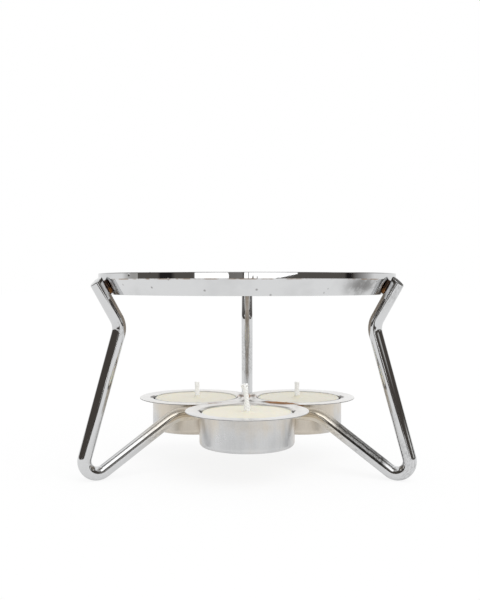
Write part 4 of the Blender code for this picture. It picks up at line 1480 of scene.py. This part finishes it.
def empty_tree(owner):
    """The node tree of a material or a world, with no nodes in it."""
    owner.use_nodes = True
    owner.node_tree.nodes.clear()
    return owner.node_tree


def shown(tree, factor, hidden, glow):
    """Ends a material: its light shows over what else there is as far as a factor says."""
    both = add(tree, "ShaderNodeMixShader", {0: factor, 1: hidden.outputs[0], 2: glow.outputs[0]})
    add(tree, "ShaderNodeOutputMaterial", {"Surface": both.outputs[0]})


def card_material(name, azimuths, elevations, blurs, slant, tint):
    """A card that glows in its own colour and fades out at its soft edges."""
    made = bpy.data.materials.new(name)
    tree = empty_tree(made)
    mask = placed(
        tree, "Soft Card", place=attribute(tree, CARD_PLACE), slant=slant,
        left=azimuths[0], right=azimuths[1], bottom=elevations[0], top=elevations[1],
        left_blur=blurs[0], right_blur=blurs[1], bottom_blur=blurs[2], top_blur=blurs[3],
    )
    glow = add(tree, "ShaderNodeEmission", {"Color": colour(tint)})
    shown(tree, mask, add(tree, "ShaderNodeBsdfTransparent"), glow)
    return made


def floor_material(studio):
    """A pale floor, nearly white to the camera, that keeps the stand's soft shadow."""
    made = bpy.data.materials.new("pale_floor")
    tree = empty_tree(made)
    matt = add(tree, "ShaderNodeBsdfDiffuse", {"Color": (0.95, 0.95, 0.95, 1.0)})
    path = add(tree, "ShaderNodeLightPath").outputs
    mirrored = path["Is Glossy Ray"]
    white = ranged(tree, mirrored, 0.0, 1.0, 1.0, 0.86, smooth=False)
    glow = add(tree, "ShaderNodeEmission", {"Color": white})
    seen = product(tree, path["Is Camera Ray"], studio.floor_glow)
    shown(tree, layered(tree, seen, (mirrored, studio.mirrored_glow)), matt, glow)
    return made


def make_world(studio):
    """A room that is white where the camera or a mirror looks, and dimmer as light on rough surfaces."""
    world = bpy.data.worlds.new("studio")
    bpy.context.scene.world = world
    tree = empty_tree(world)
    path = add(tree, "ShaderNodeLightPath").outputs
    seen = math_node(tree, "MAXIMUM", path["Is Camera Ray"], path["Is Glossy Ray"])
    seen = math_node(tree, "MAXIMUM", seen, path["Is Transmission Ray"])
    level = ranged(tree, seen, 0.0, 1.0, studio.fill, 1.0, smooth=False)
    back = add(tree, "ShaderNodeBackground", {"Color": (1.0, 1.0, 1.0, 1.0), "Strength": level})
    add(tree, "ShaderNodeOutputWorld", {"Surface": back.outputs[0]})


class STAND_OT_studio(bpy.types.Operator):
    """Sets up the floor, the lamp, the cards and the camera"""

    bl_idname = "stand.studio"
    bl_label = "Set up studio"

    def execute(self, context):
        scene = context.scene
        studio = scene.stand_studio
        floor = bpy.data.meshes.new("floor")
        reach = FLOOR_REACH
        corners = [(-reach, -reach, 0.0), (reach, -reach, 0.0), (reach, reach, 0.0), (-reach, reach, 0.0)]
        floor.from_pydata(corners, [], [(0, 1, 2, 3)])
        floor.materials.append(floor_material(studio))
        linked("floor", floor)

        for name, distance, azimuths, elevations, blurs, slant, tint in CARDS:
            mesh = card_mesh(name, distance, azimuths, elevations, slant)
            mesh.materials.append(card_material(name, azimuths, elevations, blurs, slant, tint))
            card = linked(name, mesh)
            card.visible_camera = False
            card.visible_diffuse = False
            card.visible_transmission = False
            card.visible_shadow = False

        lamp = bpy.data.lights.new("key", "SUN")
        lamp.energy = studio.key_strength
        lamp.angle = studio.key_spread
        key = linked("key", lamp)
        key.rotation_euler = Vector(studio.key_direction).to_track_quat("Z", "Y").to_euler()
        key.visible_glossy = False

        make_world(studio)
        scene.view_settings.view_transform = "Standard"
        self.make_camera(scene, studio)
        return {"FINISHED"}

    def make_camera(self, scene, studio):
        """The photograph's camera: in front of the ring, a little below its top edge."""
        data = bpy.data.cameras.new("camera")
        data.sensor_width = 36.0
        data.lens = studio.lens
        data.shift_x = studio.shift
        scene.camera = linked("camera", data)
        scene.camera.location = (0.0, AXIS.y - studio.camera_distance, studio.camera_height)
        scene.camera.rotation_euler = (math.pi / 2 - studio.camera_tilt, 0.0, 0.0)


class STAND_PT_panel(bpy.types.Panel):
    """Lists the stand's pieces in the sidebar"""

    bl_label = "Burner stand"
    bl_idname = "STAND_PT_panel"
    bl_space_type = "VIEW_3D"
    bl_region_type = "UI"
    bl_category = "Stand"

    def draw(self, context):
        for operator in OPERATORS:
            self.layout.operator(operator.bl_idname)
        for name in SETTINGS:
            group_of_values = getattr(context.scene, name)
            box = self.layout.box()
            for value in group_of_values.__annotations__:
                box.prop(group_of_values, value)


SETTINGS = {
    "stand_ring": StandRingSizes,
    "stand_rods": StandRodSizes,
    "stand_cups": StandCupSizes,
    "stand_tealights": StandTealightSizes,
    "stand_finishes": StandFinishes,
    "stand_studio": StandStudio,
}
OPERATORS = (
    STAND_OT_ring,
    STAND_OT_legs,
    STAND_OT_cups,
    STAND_OT_tealights,
    STAND_OT_braze,
    STAND_OT_tabs,
    STAND_OT_studio,
)


def register():
    for name, kind in SETTINGS.items():
        bpy.utils.register_class(kind)
        setattr(bpy.types.Scene, name, PointerProperty(type=kind))
    for kind in OPERATORS + (STAND_PT_panel,):
        bpy.utils.register_class(kind)


def unregister():
    for kind in (STAND_PT_panel,) + OPERATORS:
        bpy.utils.unregister_class(kind)
    for name, kind in SETTINGS.items():
        delattr(bpy.types.Scene, name)
        bpy.utils.unregister_class(kind)


def build_trees():
    """Builds the shape trees and the shared shader groups."""
    for build in (
        bent_rod_tree, turned_part_tree, lumpy_bead_tree, braided_wick_tree, nearest_joint_group,
        heat_tint_group, pits_group, plating_group, drawn_lines_group, soft_card_group,
    ):
        build()


def main():
    register()
    build_trees()
    bpy.ops.stand.ring()
    bpy.ops.stand.legs()
    bpy.ops.stand.cups()
    bpy.ops.stand.tealights()
    bpy.ops.stand.braze()
    bpy.ops.stand.tabs()
    bpy.ops.stand.studio()


if __name__ == "__main__":
    main()
